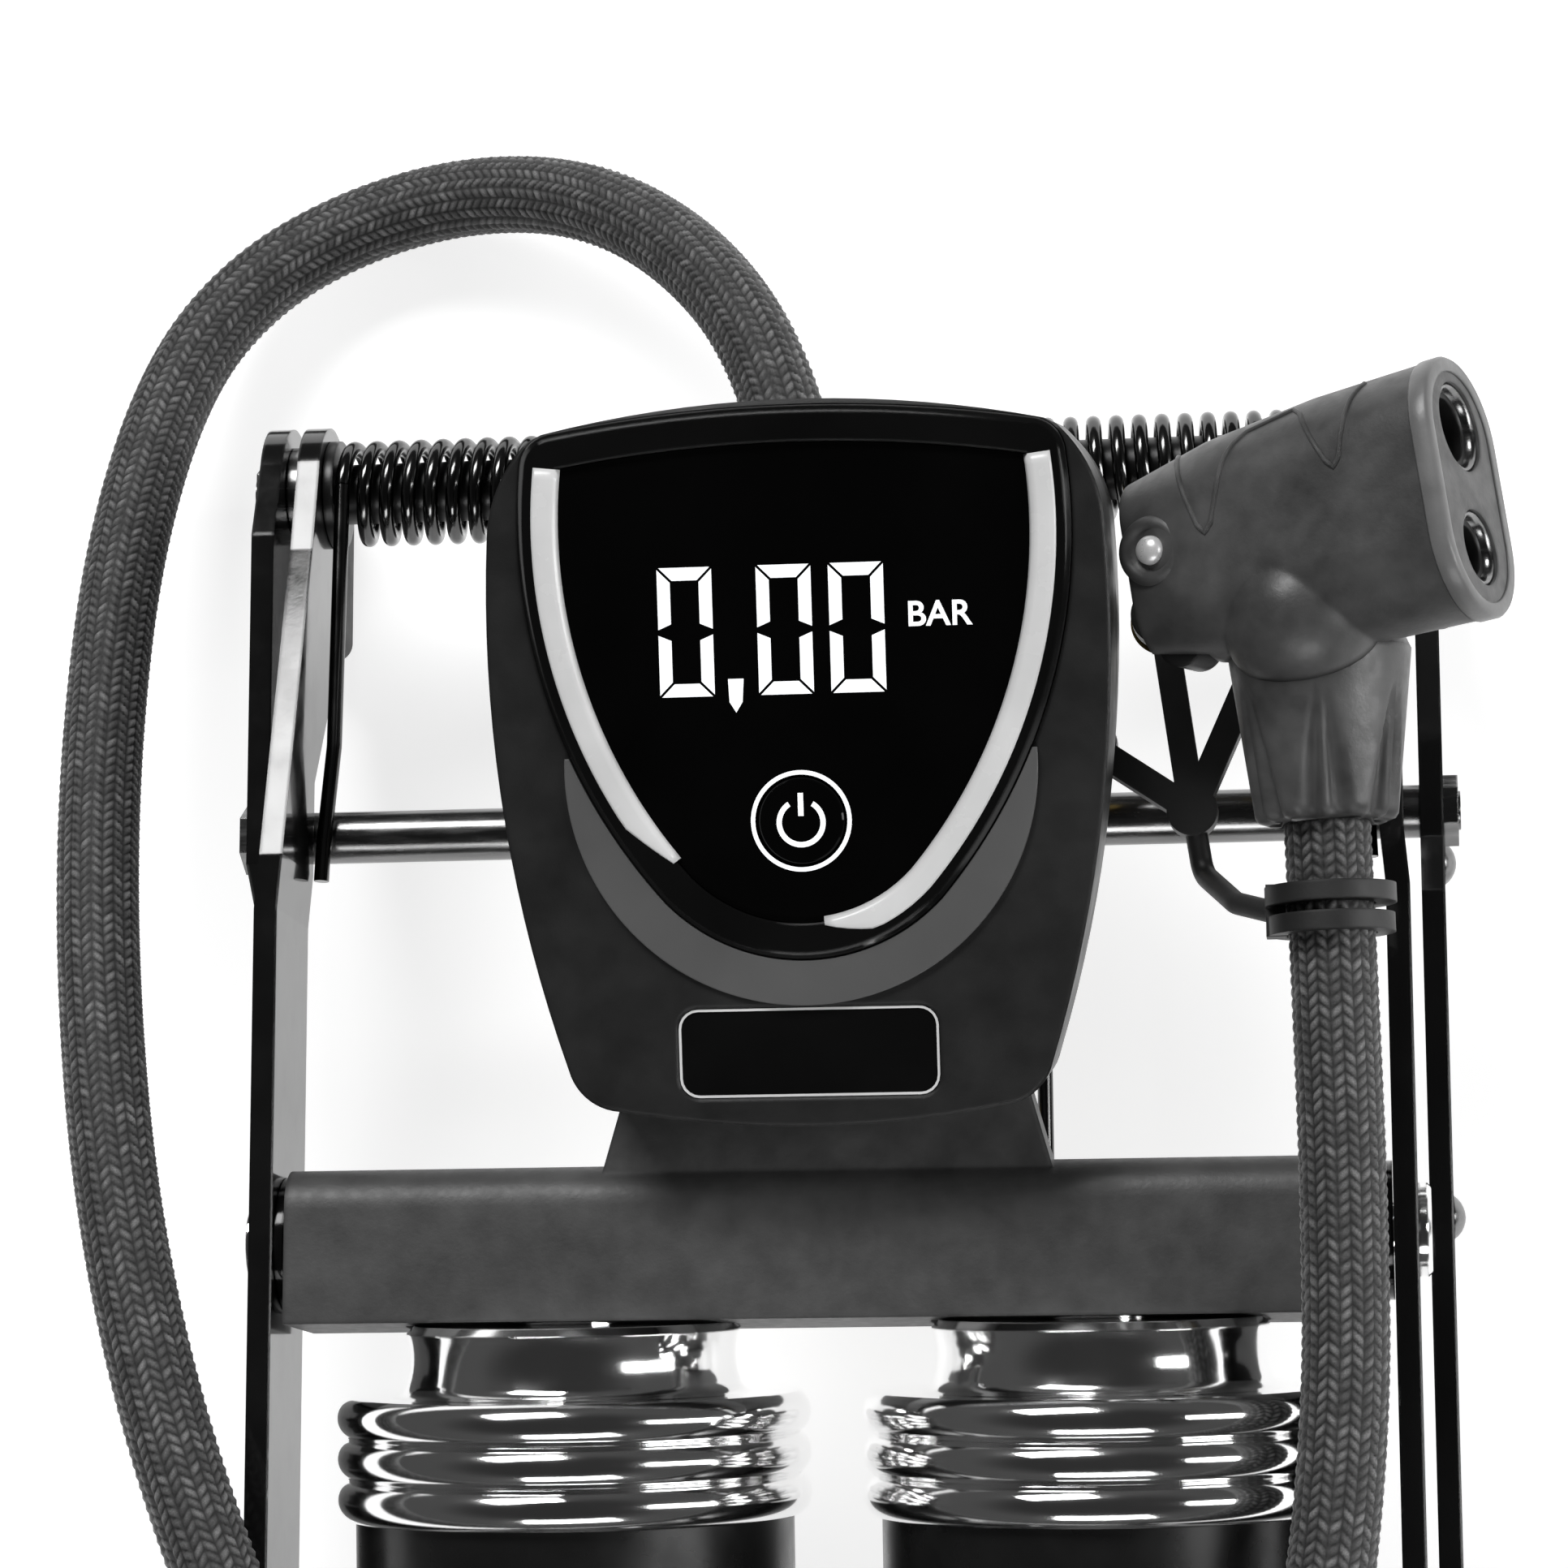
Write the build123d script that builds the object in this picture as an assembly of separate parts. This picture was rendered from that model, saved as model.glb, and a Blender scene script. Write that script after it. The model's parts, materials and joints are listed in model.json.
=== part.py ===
"""Double-cylinder foot air pump: a floor frame, a spring-raised lever with a pedal, two air cylinders
on a common crosshead, a pressure gauge, and a braided hose with a two-valve chuck.

Millimetres. +X is to the right, +Y runs from the pedal to the hinge, +Z is up.
The origin is on the floor, under the middle of the pump's own outline, hose and chuck left out."""

from build123d import *
from math import atan2, cos, degrees, hypot, pi, radians, sin, tan
import os

# ---------------------------------------------------------------- driving dimensions
PLATE = 3.0  # thickness of every steel rail
BASE_IN = 74.2  # inner face of a base rail, from the middle
LEVER_IN = 69.8  # inner face of a lever rail, from the middle
JOGGLE = 0.6  # how far the lever rails step inward before the hinge
BASE_BOTTOM, BASE_TOP = 24.0, 38.0
LEVER_BOTTOM, LEVER_TOP = 39.8, 57.6
EAR_R = 9.0  # round end of every rail at the hinge

HINGE_Y, HINGE_Z = 146.0, 31.0
CROSS_Y, CROSS_Z, CROSS_R = 98.5, 36.0, 3.4  # the base cross shaft, on which the lever rests
CROSS_END = 79.4
PIVOT_Y, PIVOT_Z = 44.0, 48.6  # crosshead pivot on the lever
FRONT_Y, FRONT_Z = -124.0, 31.0  # front shaft of the piston rods
HINGE_R = 2.9
FRONT_R = 3.0
RUNNING = 0.05  # radial clearance of a shaft that turns
SLOT_Y, SLOT_Z = -7.85, 5.87  # how far the front shaft floats in its slot
SLOT_CLEAR = 0.8

CYL_X = 33.2  # cylinder axis from the middle
TUBE_R, TUBE_WALL = 27.5, 2.0
TUBE_START, TUBE_END = 31.0, 140.0  # along the cylinder axis from the pivot
SMALL_RING_R, LARGE_RING_R = 21.0, 29.8
SMALL_RING_START, LARGE_RING_START, HEAD_END = 10.2, 19.0, 34.2
HEAD_BOSS_R = 8.0  # boss of a cylinder head, seated in the crosshead
PISTON_START, PISTON_END = 45.0, 57.0
ROD_R = 4.0
CAP_START, CAP_END, CAP_R = 132.0, 146.0, 29.0

FRONT_END = -155.0  # pedal lip
PEDAL_SHEET = 2.4
TREAD_TOP = LEVER_TOP + PEDAL_SHEET + 5.0
LUG_Y = (-140, -123)  # rivets between pedal and lever rails
LUG_Z = 51.5
LATCH_Y, LATCH_Z = -145.0, 50.5

CROSSHEAD_END = 68.3
CROSSHEAD_Y0, CROSSHEAD_Y1 = 33.4, 53.0
MANIFOLD_R = 4.2
SWIVEL_R = 6.5
SHAFT_END = 79.2  # end of the hinge shaft, from the middle

GAUGE_TILT = 12.5  # degrees, the face rises towards the hinge
GAUGE_Y, GAUGE_Z = 98.0, 80.0  # middle of the gauge face
GAUGE_FLOOR = 56.0  # flat underside
BEZEL_WIDTH = 4.4
SPLIT = -14.0  # where the front and the rear housing meet, under the face
KEY_Y, NAMEPLATE_Y = -6.2, -34.3  # power key and nameplate, up the face from its middle
SCREWS = [(-27, 84), (27, 84), (-28, 130), (28, 130)]

SPRING_R, SPRING_WIRE, SPRING_PITCH, SPRING_TURNS = 6.1, 1.0, 3.0, 13.5
SPRING_OUT = 66.6  # outer end of each spring's coil, from the middle

HOSE_R = 5.2
HOSE = [
    (0, 62, 48.6), (0, 89, 48.6), (-0.8, 116, 48), (-3.5, 142, 46.2), (-10.5, 164, 38.5), (-22.5, 180, 27.5),
    (-37.5, 190.4, 17.5), (-55, 194, 9.5), (-72, 190.8, 6.9), (-86, 182, 9.5), (-95, 167, 16), (-99, 141, 27),
    (-98.3, 110, 39.5), (-94.5, 79, 52.5), (-88.5, 47, 62.5), (-79.5, 17, 68.5), (-66, -13, 73.5),
    (-45, -40, 77.5), (-15, -56, 79.2), (18, -55.5, 79), (46, -38, 77), (60, -10, 72), (63.8, 20, 67.6),
    (64, 46, 65.8), (63.5, 70, 66), (63, 92, 67),
]

HOSE_END = Vector(*HOSE[-1])
HOSE_END_DIR = (HOSE_END - Vector(*HOSE[-2])).normalized()
COLLAR_LENGTH = 21.0
CHUCK_O = Vector(60.5, 126.8, 73.5)  # middle of the chuck body
CHUCK_RISE = 24.0  # degrees, the valve mouths tilt up to the right
CHUCK_TURN = 8.0  # degrees in plan, the valve mouths turn towards the hinge
CHUCK_MOUTH = 22.8  # end face, along the body from its middle
VALVE_PITCH = 15.0
VALVE_SOCKETS = ((-1, 3.1), (1, 4.0))  # side of the body's middle, radius
THUMB_ALONG = -16.6  # thumb lever's pivot, along the body from its middle

SPIDER = (46.0, 96.4)  # where the strap's arms meet, in plan
SPIDER_ENDS = {"ball_needle": (32.8, 105.4), "cone_nozzle": (42.6, 121.5), "presta_adapter": (54.8, 116.0)}
SPIDER_Z = 52.0
BAND_BACK = 10.6  # from the collar's end back along the hose to between the two bands
PLUG_R = 2.2

HEAD_TILT = degrees(atan2(PIVOT_Z - FRONT_Z, PIVOT_Y - FRONT_Y))
ROD_EYE = hypot(PIVOT_Y - FRONT_Y, PIVOT_Z - FRONT_Z)


# ---------------------------------------------------------------- small helpers
def block(x0, x1, y0, y1, z0, z1):
    return Pos((x0 + x1) / 2, (y0 + y1) / 2, (z0 + z1) / 2) * Box(x1 - x0, y1 - y0, z1 - z0)


def bar(x0, x1, y, z, r):
    """Round bar along X."""
    return Pos((x0 + x1) / 2, y, z) * Rot(0, 90, 0) * Cylinder(r, x1 - x0)


def ring(x0, x1, y, z, outer, inner):
    return bar(x0, x1, y, z, outer) - bar(x0 - 1, x1 + 1, y, z, inner)


def side_face(points):
    """Face in the YZ plane from (y, z) points."""
    return Plane.YZ * make_face(Polyline(*points, close=True))


def side_disc(y, z, r):
    return Plane.YZ * Pos(y, z) * Circle(r)


def side_plate(face, x0, x1):
    return Pos(x0, 0, 0) * extrude(face, x1 - x0, dir=(1, 0, 0))


def hex_nut(x0, x1, y, z, across_flats, bore):
    hexagon = Plane.YZ * RegularPolygon(across_flats / 2, 6, major_radius=False)
    body = Pos(x0, y, z) * extrude(hexagon, x1 - x0)
    return body - bar(x0 - 1, x1 + 1, y, z, bore)


def dome(x0, y, z, r, height):
    """Rivet head standing out along +X from the plane X = x0."""
    ball_r = (r * r + height * height) / (2 * height)
    middle = (ball_r * sin(radians(20)), height - ball_r * (1 - cos(radians(20))))
    profile = Line((0, 0), (r, 0)) + ThreePointArc((r, 0), middle, (0, height)) + Line((0, height), (0, 0))
    return Pos(x0, y, z) * Rot(0, 90, 0) * revolve(Plane.XZ * make_face(profile), Axis.Z)


def both_sides(part):
    """The right-hand part and its mirror image, as separate solids."""
    return [part, part.mirror(Plane.YZ)]


def group(parts):
    return Compound([solid for part in parts for solid in part.solids()])


def axial(x):
    """Frame of one cylinder: local +Z runs from the crosshead pivot towards the front shaft."""
    t = radians(HEAD_TILT)
    return Plane(origin=(x, PIVOT_Y, PIVOT_Z), x_dir=(1, 0, 0), z_dir=(0, -cos(t), -sin(t)))


def turned(x, points):
    """Body of revolution about a cylinder axis from (radius, distance) points."""
    face = Plane.XZ * make_face(Polyline(*points, close=True))
    return axial(x).location * revolve(face, Axis.Z)


def pipe(x, start, end, outer, inner):
    return turned(x, [(inner, start), (outer, start), (outer, end), (inner, end)])


def rod(x, start, end, r):
    return axial(x).location * Pos(0, 0, (start + end) / 2) * Cylinder(r, end - start)


# ---------------------------------------------------------------- base frame
def front_slot():
    """Outline of the slanted slot that the front shaft floats in."""
    angle = degrees(atan2(SLOT_Z, SLOT_Y))
    length = hypot(SLOT_Y, SLOT_Z)
    slot = SlotCenterToCenter(length, 2 * (FRONT_R + SLOT_CLEAR), rotation=angle)
    return Plane.YZ * Pos(FRONT_Y + SLOT_Y / 2, FRONT_Z + SLOT_Z / 2) * slot


def base_rail():
    bottom, top = BASE_BOTTOM, BASE_TOP
    ear_top = CROSS_Z + 8
    outline = [
        (-146, 4), (-146, 40), (-141, 45.5), (-115, 45.5), (-106, top),
        (88, top), (94, ear_top), (138, ear_top), (HINGE_Y + 4, HINGE_Z + 8), (HINGE_Y + 4, 4),
        (136, 4), (131, 10), (98, bottom), (-118, bottom), (-122, 4),
    ]
    face = side_face(outline) + side_disc(HINGE_Y, HINGE_Z, EAR_R)
    face -= side_disc(HINGE_Y, HINGE_Z, HINGE_R + RUNNING)
    face -= side_disc(CROSS_Y, CROSS_Z, 2.55)
    face -= front_slot()
    for y in (-138, -128):
        face -= side_disc(y, 14, 2.05)
    return side_plate(face, BASE_IN, BASE_IN + PLATE)


def front_cross_plate():
    """Folded sheet between the base rails, with a lip in the middle for the latch hook."""
    inner = BASE_IN - PLATE
    web = block(-BASE_IN, BASE_IN, -146, -120, 6, 8.5)
    tab = block(inner, BASE_IN, -146, -120, 8.5, 22)
    for y in (-138, -128):
        tab -= bar(inner - 1, BASE_IN + 1, y, 14, 2.05)
    post = block(-9, 9, -128, -125.5, 8.5, 24)
    lip = block(-9, 9, -133, -125.5, 24, 26)
    plate = web + tab + tab.mirror(Plane.YZ) + post + lip
    for x in (-45, 45):
        plate -= Pos(x, -133, 7) * Cylinder(6, 10)
    return plate


def base_rivets():
    """Dome rivets through rail and folded plate, and the two blind rivets on each rail's flank."""
    out = []
    inner, outer = BASE_IN - PLATE, BASE_IN + PLATE
    for y in (-138, -128):
        rivet = bar(inner - 1.2, outer, y, 14, 2.0) + dome(outer, y, 14, 3.6, 1.8)
        rivet += bar(inner - 1.6, inner, y, 14, 3.2)
        out += both_sides(rivet)
    for y in (92.5, 47):
        out += both_sides(dome(outer, y, 31, 2.8, 1.5))
    return group(out)


def rubber_feet():
    out = []
    for y0, y1 in ((-148.5, -119.5), (129.5, 152.5)):
        boot = block(BASE_IN - 1.2, BASE_IN + PLATE + 3, y0, y1, 0, 12)
        boot = fillet(boot.edges().filter_by(Axis.Z), 2.5)
        boot = chamfer(boot.faces().sort_by(Axis.Z)[0].edges(), 0.8)
        out.append(boot)
    rail = base_rail()
    plate = front_cross_plate()
    rivets = base_rivets()
    fitted = [boot - rail - plate - rivets for boot in out]
    return group([side for boot in fitted for side in both_sides(boot)])


def cross_shaft():
    shaft = bar(-BASE_IN, BASE_IN, CROSS_Y, CROSS_Z, CROSS_R)
    for x0, x1 in ((BASE_IN, CROSS_END), (-CROSS_END, -BASE_IN)):
        shaft += bar(x0, x1, CROSS_Y, CROSS_Z, 2.5)
    return shaft


def cross_shaft_nuts():
    return group(both_sides(hex_nut(BASE_IN + PLATE, CROSS_END - 0.3, CROSS_Y, CROSS_Z, 8, 2.55)))


def hinge_shaft():
    return bar(-SHAFT_END, SHAFT_END, HINGE_Y, HINGE_Z, HINGE_R)


def hinge_nuts():
    nut = hex_nut(BASE_IN + PLATE, SHAFT_END - 0.4, HINGE_Y, HINGE_Z, 8, HINGE_R + RUNNING)
    return group(both_sides(nut))


def hinge_washers():
    outer_face = LEVER_IN - JOGGLE + PLATE
    return group(both_sides(ring(outer_face + 0.1, BASE_IN - 0.1, HINGE_Y, HINGE_Z, 6.5, HINGE_R + RUNNING)))


def hinge_spacers():
    """Flanged plastic bushes between a lever rail and its spring."""
    face = LEVER_IN - JOGGLE - 0.1
    bush = ring(face - 1.3, face, HINGE_Y, HINGE_Z, 7.2, HINGE_R + RUNNING)
    core = ring(20, face - 1.3, HINGE_Y, HINGE_Z, 4.0, HINGE_R + RUNNING)
    return group(both_sides(bush + core))




def wire(route):
    """Straight spring leg with soft bends."""
    line = FilletPolyline(*route, radius=6)
    return sweep(Plane(origin=line @ 0, z_dir=line % 0) * Circle(SPRING_WIRE), path=line)


def spring():
    """Torsion spring round the hinge shaft: one leg lies on the cross shaft, one lifts the crosshead."""
    height = SPRING_PITCH * SPRING_TURNS
    helix = Helix(SPRING_PITCH, height, SPRING_R)
    coil = sweep(Plane(origin=helix @ 0, z_dir=helix % 0) * Circle(SPRING_WIRE), path=helix)
    inner = SPRING_OUT - height
    # The helix starts under the hinge shaft and ends over it, climbing outward along X.
    coil = Pos(inner, HINGE_Y, HINGE_Z) * Rot(0, 90, 0) * coil
    leg_y = HINGE_Y - 0.25
    rest = CROSS_Z + CROSS_R + SPRING_WIRE + 0.1
    top, bottom = HINGE_Z + SPRING_R, HINGE_Z - SPRING_R
    outer_leg = wire([
        (SPRING_OUT, leg_y, top), (SPRING_OUT, 110, rest - 0.5),
        (67.7, 97, rest + 0.1), (67.9, 92, rest + 0.3),
    ])
    inner_leg = wire([
        (inner, leg_y, bottom), (inner, 137, bottom),
        (inner, 101, rest + 0.8), (inner, 47, LEVER_BOTTOM - 1.6),
    ])
    return group([coil, outer_leg, inner_leg])


# ---------------------------------------------------------------- lever
def lever_rail():
    """Flat bar that steps inward and slopes down to a round eye at the hinge."""
    ear_y, ear_z = HINGE_Y, HINGE_Z
    outline = [
        (-150, LEVER_BOTTOM), (-150, LEVER_TOP), (93, LEVER_TOP), (136, ear_z + 12), (ear_y + 3, ear_z + 8.4),
        (ear_y + 3, ear_z - 8.4), (ear_y - 9, ear_z - 8.0), (117, 31.5), (105.2, LEVER_BOTTOM),
    ]
    profile = side_face(outline) + side_disc(ear_y, ear_z, EAR_R)
    profile -= side_disc(ear_y, ear_z, HINGE_R + RUNNING)
    profile -= side_disc(PIVOT_Y, PIVOT_Z, 4.0)
    profile -= side_disc(-112, 48.6, 3.0)
    for y in LUG_Y:
        profile -= side_disc(y, LUG_Z, 1.9)
    solid = side_plate(profile, LEVER_IN - 6, LEVER_IN + 6)
    inner, outer = LEVER_IN, LEVER_IN + PLATE
    plan = [
        (inner, -160), (outer, -160), (outer, 86), (outer - JOGGLE, 93), (outer - JOGGLE, 160),
        (inner - JOGGLE, 160), (inner - JOGGLE, 93), (inner, 86),
    ]
    strip = extrude(make_face(Polyline(*plan, close=True)), 100)
    return solid & strip


def pedal_plate():
    outer = LEVER_IN + PLATE
    top = LEVER_TOP + PEDAL_SHEET
    plate = block(-outer, outer, FRONT_END, -108, LEVER_TOP, top)
    plate += block(-outer, outer, FRONT_END, FRONT_END + 2.4, 44, top)
    plate = fillet(plate.edges().filter_by(Axis.X).group_by(Axis.Y)[0].sort_by(Axis.Z)[-1], 2.0)
    for y in LUG_Y:
        plate += block(inner_lug(), LEVER_IN, y - 5, y + 5, 47, LEVER_TOP)
        plate += block(-LEVER_IN, -inner_lug(), y - 5, y + 5, 47, LEVER_TOP)
    for side in (-1, 1):
        lug = block(1.9, 4.3, -150, -140, 46, LEVER_TOP)
        plate += lug if side > 0 else lug.mirror(Plane.YZ)
    plate -= bar(-10, 10, LATCH_Y, LATCH_Z, 2.0)
    for y in LUG_Y:
        plate -= bar(-LEVER_IN - 1, LEVER_IN + 1, y, LUG_Z, 1.9)
    return plate


def inner_lug():
    return LEVER_IN - 2.4


def pedal_rivets():
    out = []
    outer = LEVER_IN + PLATE
    for y in LUG_Y:
        rivet = bar(inner_lug() - 1.0, outer, y, LUG_Z, 1.9)
        rivet += ring(inner_lug() - 1.2, inner_lug(), y, LUG_Z, 3.2, 1)
        out += both_sides(rivet + dome(outer, y, LUG_Z, 3.4, 0.8))
    return group(out)


def pedal_tread():
    pad = block(-66, 66, FRONT_END + 4, -111, LEVER_TOP + PEDAL_SHEET, TREAD_TOP)
    pad = fillet(pad.edges().filter_by(Axis.Z), 6)
    pad = chamfer(pad.faces().sort_by(Axis.Z)[-1].edges(), 1.2)
    for i in range(9):
        x = (i - 4) * 13.5
        pad -= block(x - 1.2, x + 1.2, FRONT_END + 9, -116, TREAD_TOP - 1.8, TREAD_TOP + 1)
    return pad


def lever_cross_tube():
    tube = ring(-LEVER_IN, LEVER_IN, -112, 48.6, 4.0, 2.0)
    for x0, x1 in ((LEVER_IN, LEVER_IN + PLATE), (-LEVER_IN - PLATE, -LEVER_IN)):
        tube += ring(x0, x1, -112, 48.6, 3.0, 2.0)
    return tube


def crosshead_rivets():
    """Flat-headed pivots through the lever rails into the crosshead's ends."""
    outer = LEVER_IN + PLATE
    pivot = bar(60, outer, PIVOT_Y, PIVOT_Z, 4.0) + bar(outer, outer + 1.6, PIVOT_Y, PIVOT_Z, 5.8)
    pivot = chamfer(pivot.faces().sort_by(Axis.X)[-1].edges(), 0.5)
    return group(both_sides(pivot))


def crosshead_washers():
    return group(both_sides(ring(CROSSHEAD_END + 0.2, LEVER_IN - 0.1, PIVOT_Y, PIVOT_Z, 8.6, 4.05)))


def latch_hook():
    """Flat hook that hangs from the pedal and is swung back under the base plate's lip."""
    arm = side_face([
        (-148.5, 50.5), (-148.5, 20), (-146.5, 18), (-134.5, 18), (-134.5, 21), (-137, 21.6), (-141.5, 21.6),
        (-141.5, 50.5),
    ])
    arm += side_disc(LATCH_Y, LATCH_Z, 4.5)
    arm -= side_disc(LATCH_Y, LATCH_Z, 2.05)
    return side_plate(arm, -1.6, 1.6)


def latch_pin():
    pin = bar(-4.3, 4.3, LATCH_Y, LATCH_Z, 2.0)
    for x0, x1 in ((4.3, 5.3), (-5.3, -4.3)):
        pin += bar(x0, x1, LATCH_Y, LATCH_Z, 3.0)
    return pin


# ---------------------------------------------------------------- crosshead and air path
def crosshead():
    """Inverted channel with solid ends, and a saddle at the back that carries the gauge."""
    low, high = 39.8, 57.6
    shell = block(-CROSSHEAD_END, CROSSHEAD_END, CROSSHEAD_Y0, CROSSHEAD_Y1, low, high)
    rear_top = shell.edges().filter_by(Axis.X).sort_by(lambda e: -e.center().Y - e.center().Z)[0]
    shell = fillet(rear_top, 5)
    inside = block(-58, 58, CROSSHEAD_Y0 + 2, CROSSHEAD_Y1 - 2.4, low - 1, high - 2)
    shell -= inside
    shell -= block(-9, 9, CROSSHEAD_Y1 - 6, CROSSHEAD_Y1 + 2, low - 1, high - 2)
    for x in (-CYL_X, CYL_X):
        shell -= rod(x, 0, 30, HEAD_BOSS_R + 0.05) + rod(x, SMALL_RING_START - 0.02, 30, SMALL_RING_R + 0.05)
    for side in (-1, 1):
        end = bar(59.9, 70, PIVOT_Y, PIVOT_Z, 4.0 + RUNNING)
        shell -= end if side > 0 else end.mirror(Plane.YZ)
    return shell + neck()


def neck():
    """Tapered shelf behind the crosshead that the gauge stands on, open below for the hose."""
    rear = CROSSHEAD_Y1
    plan = Polyline((-28.4, rear - 2), (28.4, rear - 2), (23, 70), (-23, 70), close=True)
    shelf = Pos(0, 0, 46) * extrude(make_face(plan), GAUGE_FLOOR - 46)
    shelf -= block(-9, 9, rear - 6, 80, 40, GAUGE_FLOOR - 1.6)
    for side in (-1, 1):
        shelf -= block(side * 17.5 - 6.5, side * 17.5 + 6.5, rear + 2, 67.5, 40, GAUGE_FLOOR - 2)
    return shelf


def air_manifold():
    """Air tube along the pivot axis, between the two cylinder heads and through the hose swivel."""
    tube = ring(-44, 44, PIVOT_Y, PIVOT_Z, MANIFOLD_R, 2.4)
    plugs = [bar(42, 46, PIVOT_Y, PIVOT_Z, MANIFOLD_R), bar(-46, -42, PIVOT_Y, PIVOT_Z, MANIFOLD_R)]
    tube = tube + plugs[0] + plugs[1]
    tube -= Pos(0, PIVOT_Y + 3, PIVOT_Z) * Rot(90, 0, 0) * Cylinder(1.4, 6)
    for x in (-CYL_X, CYL_X):
        tube -= rod(x, 0, 8, 2.0)
    return tube


def cylinder_head(x):
    """Plated head: a boss into the crosshead, a small collar, then a large skirt with turned beads."""
    start, collar, skirt, end = 5.0, SMALL_RING_START, LARGE_RING_START, HEAD_END
    small, large, socket = SMALL_RING_R, LARGE_RING_R, TUBE_R + 0.02
    bead = (end - skirt) / 3
    boss = Polyline(
        (2, TUBE_START - 3), (2, start), (HEAD_BOSS_R, start), (HEAD_BOSS_R, collar),
        (small - 1, collar), (small, collar + 1),
    )
    waist = ThreePointArc((small, collar + 1), (small - 0.5, skirt - 4), (small, skirt - 1.6))
    flare = ThreePointArc((small, skirt - 1.6), (small + 0.6, skirt - 0.5), (small + 2, skirt))
    shoulder = Line((small + 2, skirt), (large - 1.4, skirt))
    outline = boss + waist + flare + shoulder
    for i in range(3):
        s = skirt + i * bead
        outline += ThreePointArc((large - 1.4, s), (large, s + bead / 2), (large - 1.4, s + bead))
    outline += Polyline(
        (large - 1.4, end), (socket, end), (socket, TUBE_START), (10, TUBE_START), (10, TUBE_START - 3),
        (2, TUBE_START - 3),
    )
    head = axial(x).location * revolve(Plane.XZ * make_face(outline), Axis.Z)
    return head - bar(-48, 48, PIVOT_Y, PIVOT_Z, MANIFOLD_R)


def check_valve(x):
    """Rubber flap disc in the head's recess."""
    return pipe(x, TUBE_START - 2.4, TUBE_START - 0.6, 8.5, 1.2)


def cylinder_tube(x):
    return pipe(x, TUBE_START, TUBE_END, TUBE_R, TUBE_R - TUBE_WALL)


def end_cap(x):
    socket = TUBE_R + 0.02
    points = [
        (socket, CAP_START), (CAP_R, CAP_START), (CAP_R, CAP_END - 1.5), (CAP_R - 1.5, CAP_END),
        (ROD_R + 0.3, CAP_END), (ROD_R + 0.3, TUBE_END), (socket, TUBE_END),
    ]
    cap = turned(x, points)
    for i in range(4):
        hole = Rot(0, 0, 45 + 90 * i) * Pos(16, 0, CAP_END) * Cylinder(2.5, 20)
        cap -= axial(x).location * hole
    return cap


def piston(x):
    r = TUBE_R - TUBE_WALL
    s0, s1 = PISTON_START, PISTON_END
    groove0, groove1 = s0 + 3.5, s0 + 6.5
    points = [
        (0, s0), (r - 0.35, s0), (r - 0.35, groove0), (r - 3, groove0), (r - 3, groove1), (r - 0.35, groove1),
        (r - 0.35, s1), (r - 4, s1), (r - 4, s0 + 8.5), (ROD_R + 4, s0 + 8.5), (ROD_R + 4, s1), (0, s1),
    ]
    return turned(x, points)


def piston_cup(x):
    r = TUBE_R - TUBE_WALL
    return pipe(x, PISTON_START + 3.5, PISTON_START + 6.5, r - 0.1, r - 3)


def piston_rod(x):
    body = rod(x, PISTON_END, ROD_EYE, ROD_R)
    eye = bar(x - 5, x + 5, FRONT_Y, FRONT_Z, 7.5)
    return body + eye - bar(x - 8, x + 8, FRONT_Y, FRONT_Z, FRONT_R + 0.02)


def front_shaft():
    return bar(-81, 81, FRONT_Y, FRONT_Z, FRONT_R)


def front_shaft_nuts():
    nut = hex_nut(BASE_IN + PLATE + 0.4, 80, FRONT_Y, FRONT_Z, 8, FRONT_R + 0.02)
    washer = ring(LEVER_IN + 1.0, BASE_IN - 0.4, FRONT_Y, FRONT_Z, 6.0, FRONT_R + 0.02)
    return group(both_sides(nut) + both_sides(washer))


# ---------------------------------------------------------------- gauge
def gauge_plane(lift=0.0):
    """Plane of the gauge face, or a plane that far outward from it. Local y runs up the face."""
    t = radians(GAUGE_TILT)
    normal = (0, -sin(t), cos(t))
    origin = (0, GAUGE_Y + lift * normal[1], GAUGE_Z + lift * normal[2])
    return Plane(origin=origin, x_dir=(1, 0, 0), z_dir=normal)


def gauge_outline(inset=0.0):
    """Front outline: shallow arched top, shoulders, and sides that draw in to a rounded bottom."""
    top = ThreePointArc((-31.5, 41.3), (0, 44.8), (31.5, 41.3))
    bottom = ThreePointArc((-23.5, -41.2), (0, -43.4), (23.5, -41.2))
    shoulder = ThreePointArc((31.5, 41.3), (35.6, 36.2), (37.6, 29.0))
    flank = ThreePointArc((37.6, 29.0), (36.7, -4.0), (29.6, -36.0))
    foot = ThreePointArc((29.6, -36.0), (27.6, -39.4), (23.5, -41.2))
    side = shoulder + flank + foot
    face = make_face(top + side + bottom + side.mirror(Plane.YZ))
    return offset(face, -inset) if inset else face


def shield_outline(grow=0.0):
    """Display window: straight-topped shield with a rounded point below."""
    top = ThreePointArc((-28.8, 37.2), (0, 39.6), (28.8, 37.2))
    flank = ThreePointArc((28.8, 37.2), (25.4, 7.2), (13.6, -12.8))
    point = ThreePointArc((13.6, -12.8), (0, -18.6), (-13.6, -12.8))
    face = make_face(top + flank + point + flank.mirror(Plane.YZ))
    return offset(face, grow, kind=Kind.ARC) if grow else face


def slab(face, low, high):
    """Solid between two heights over the gauge face, from a flat outline."""
    return gauge_plane(low).location * extrude(face, high - low)


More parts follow.
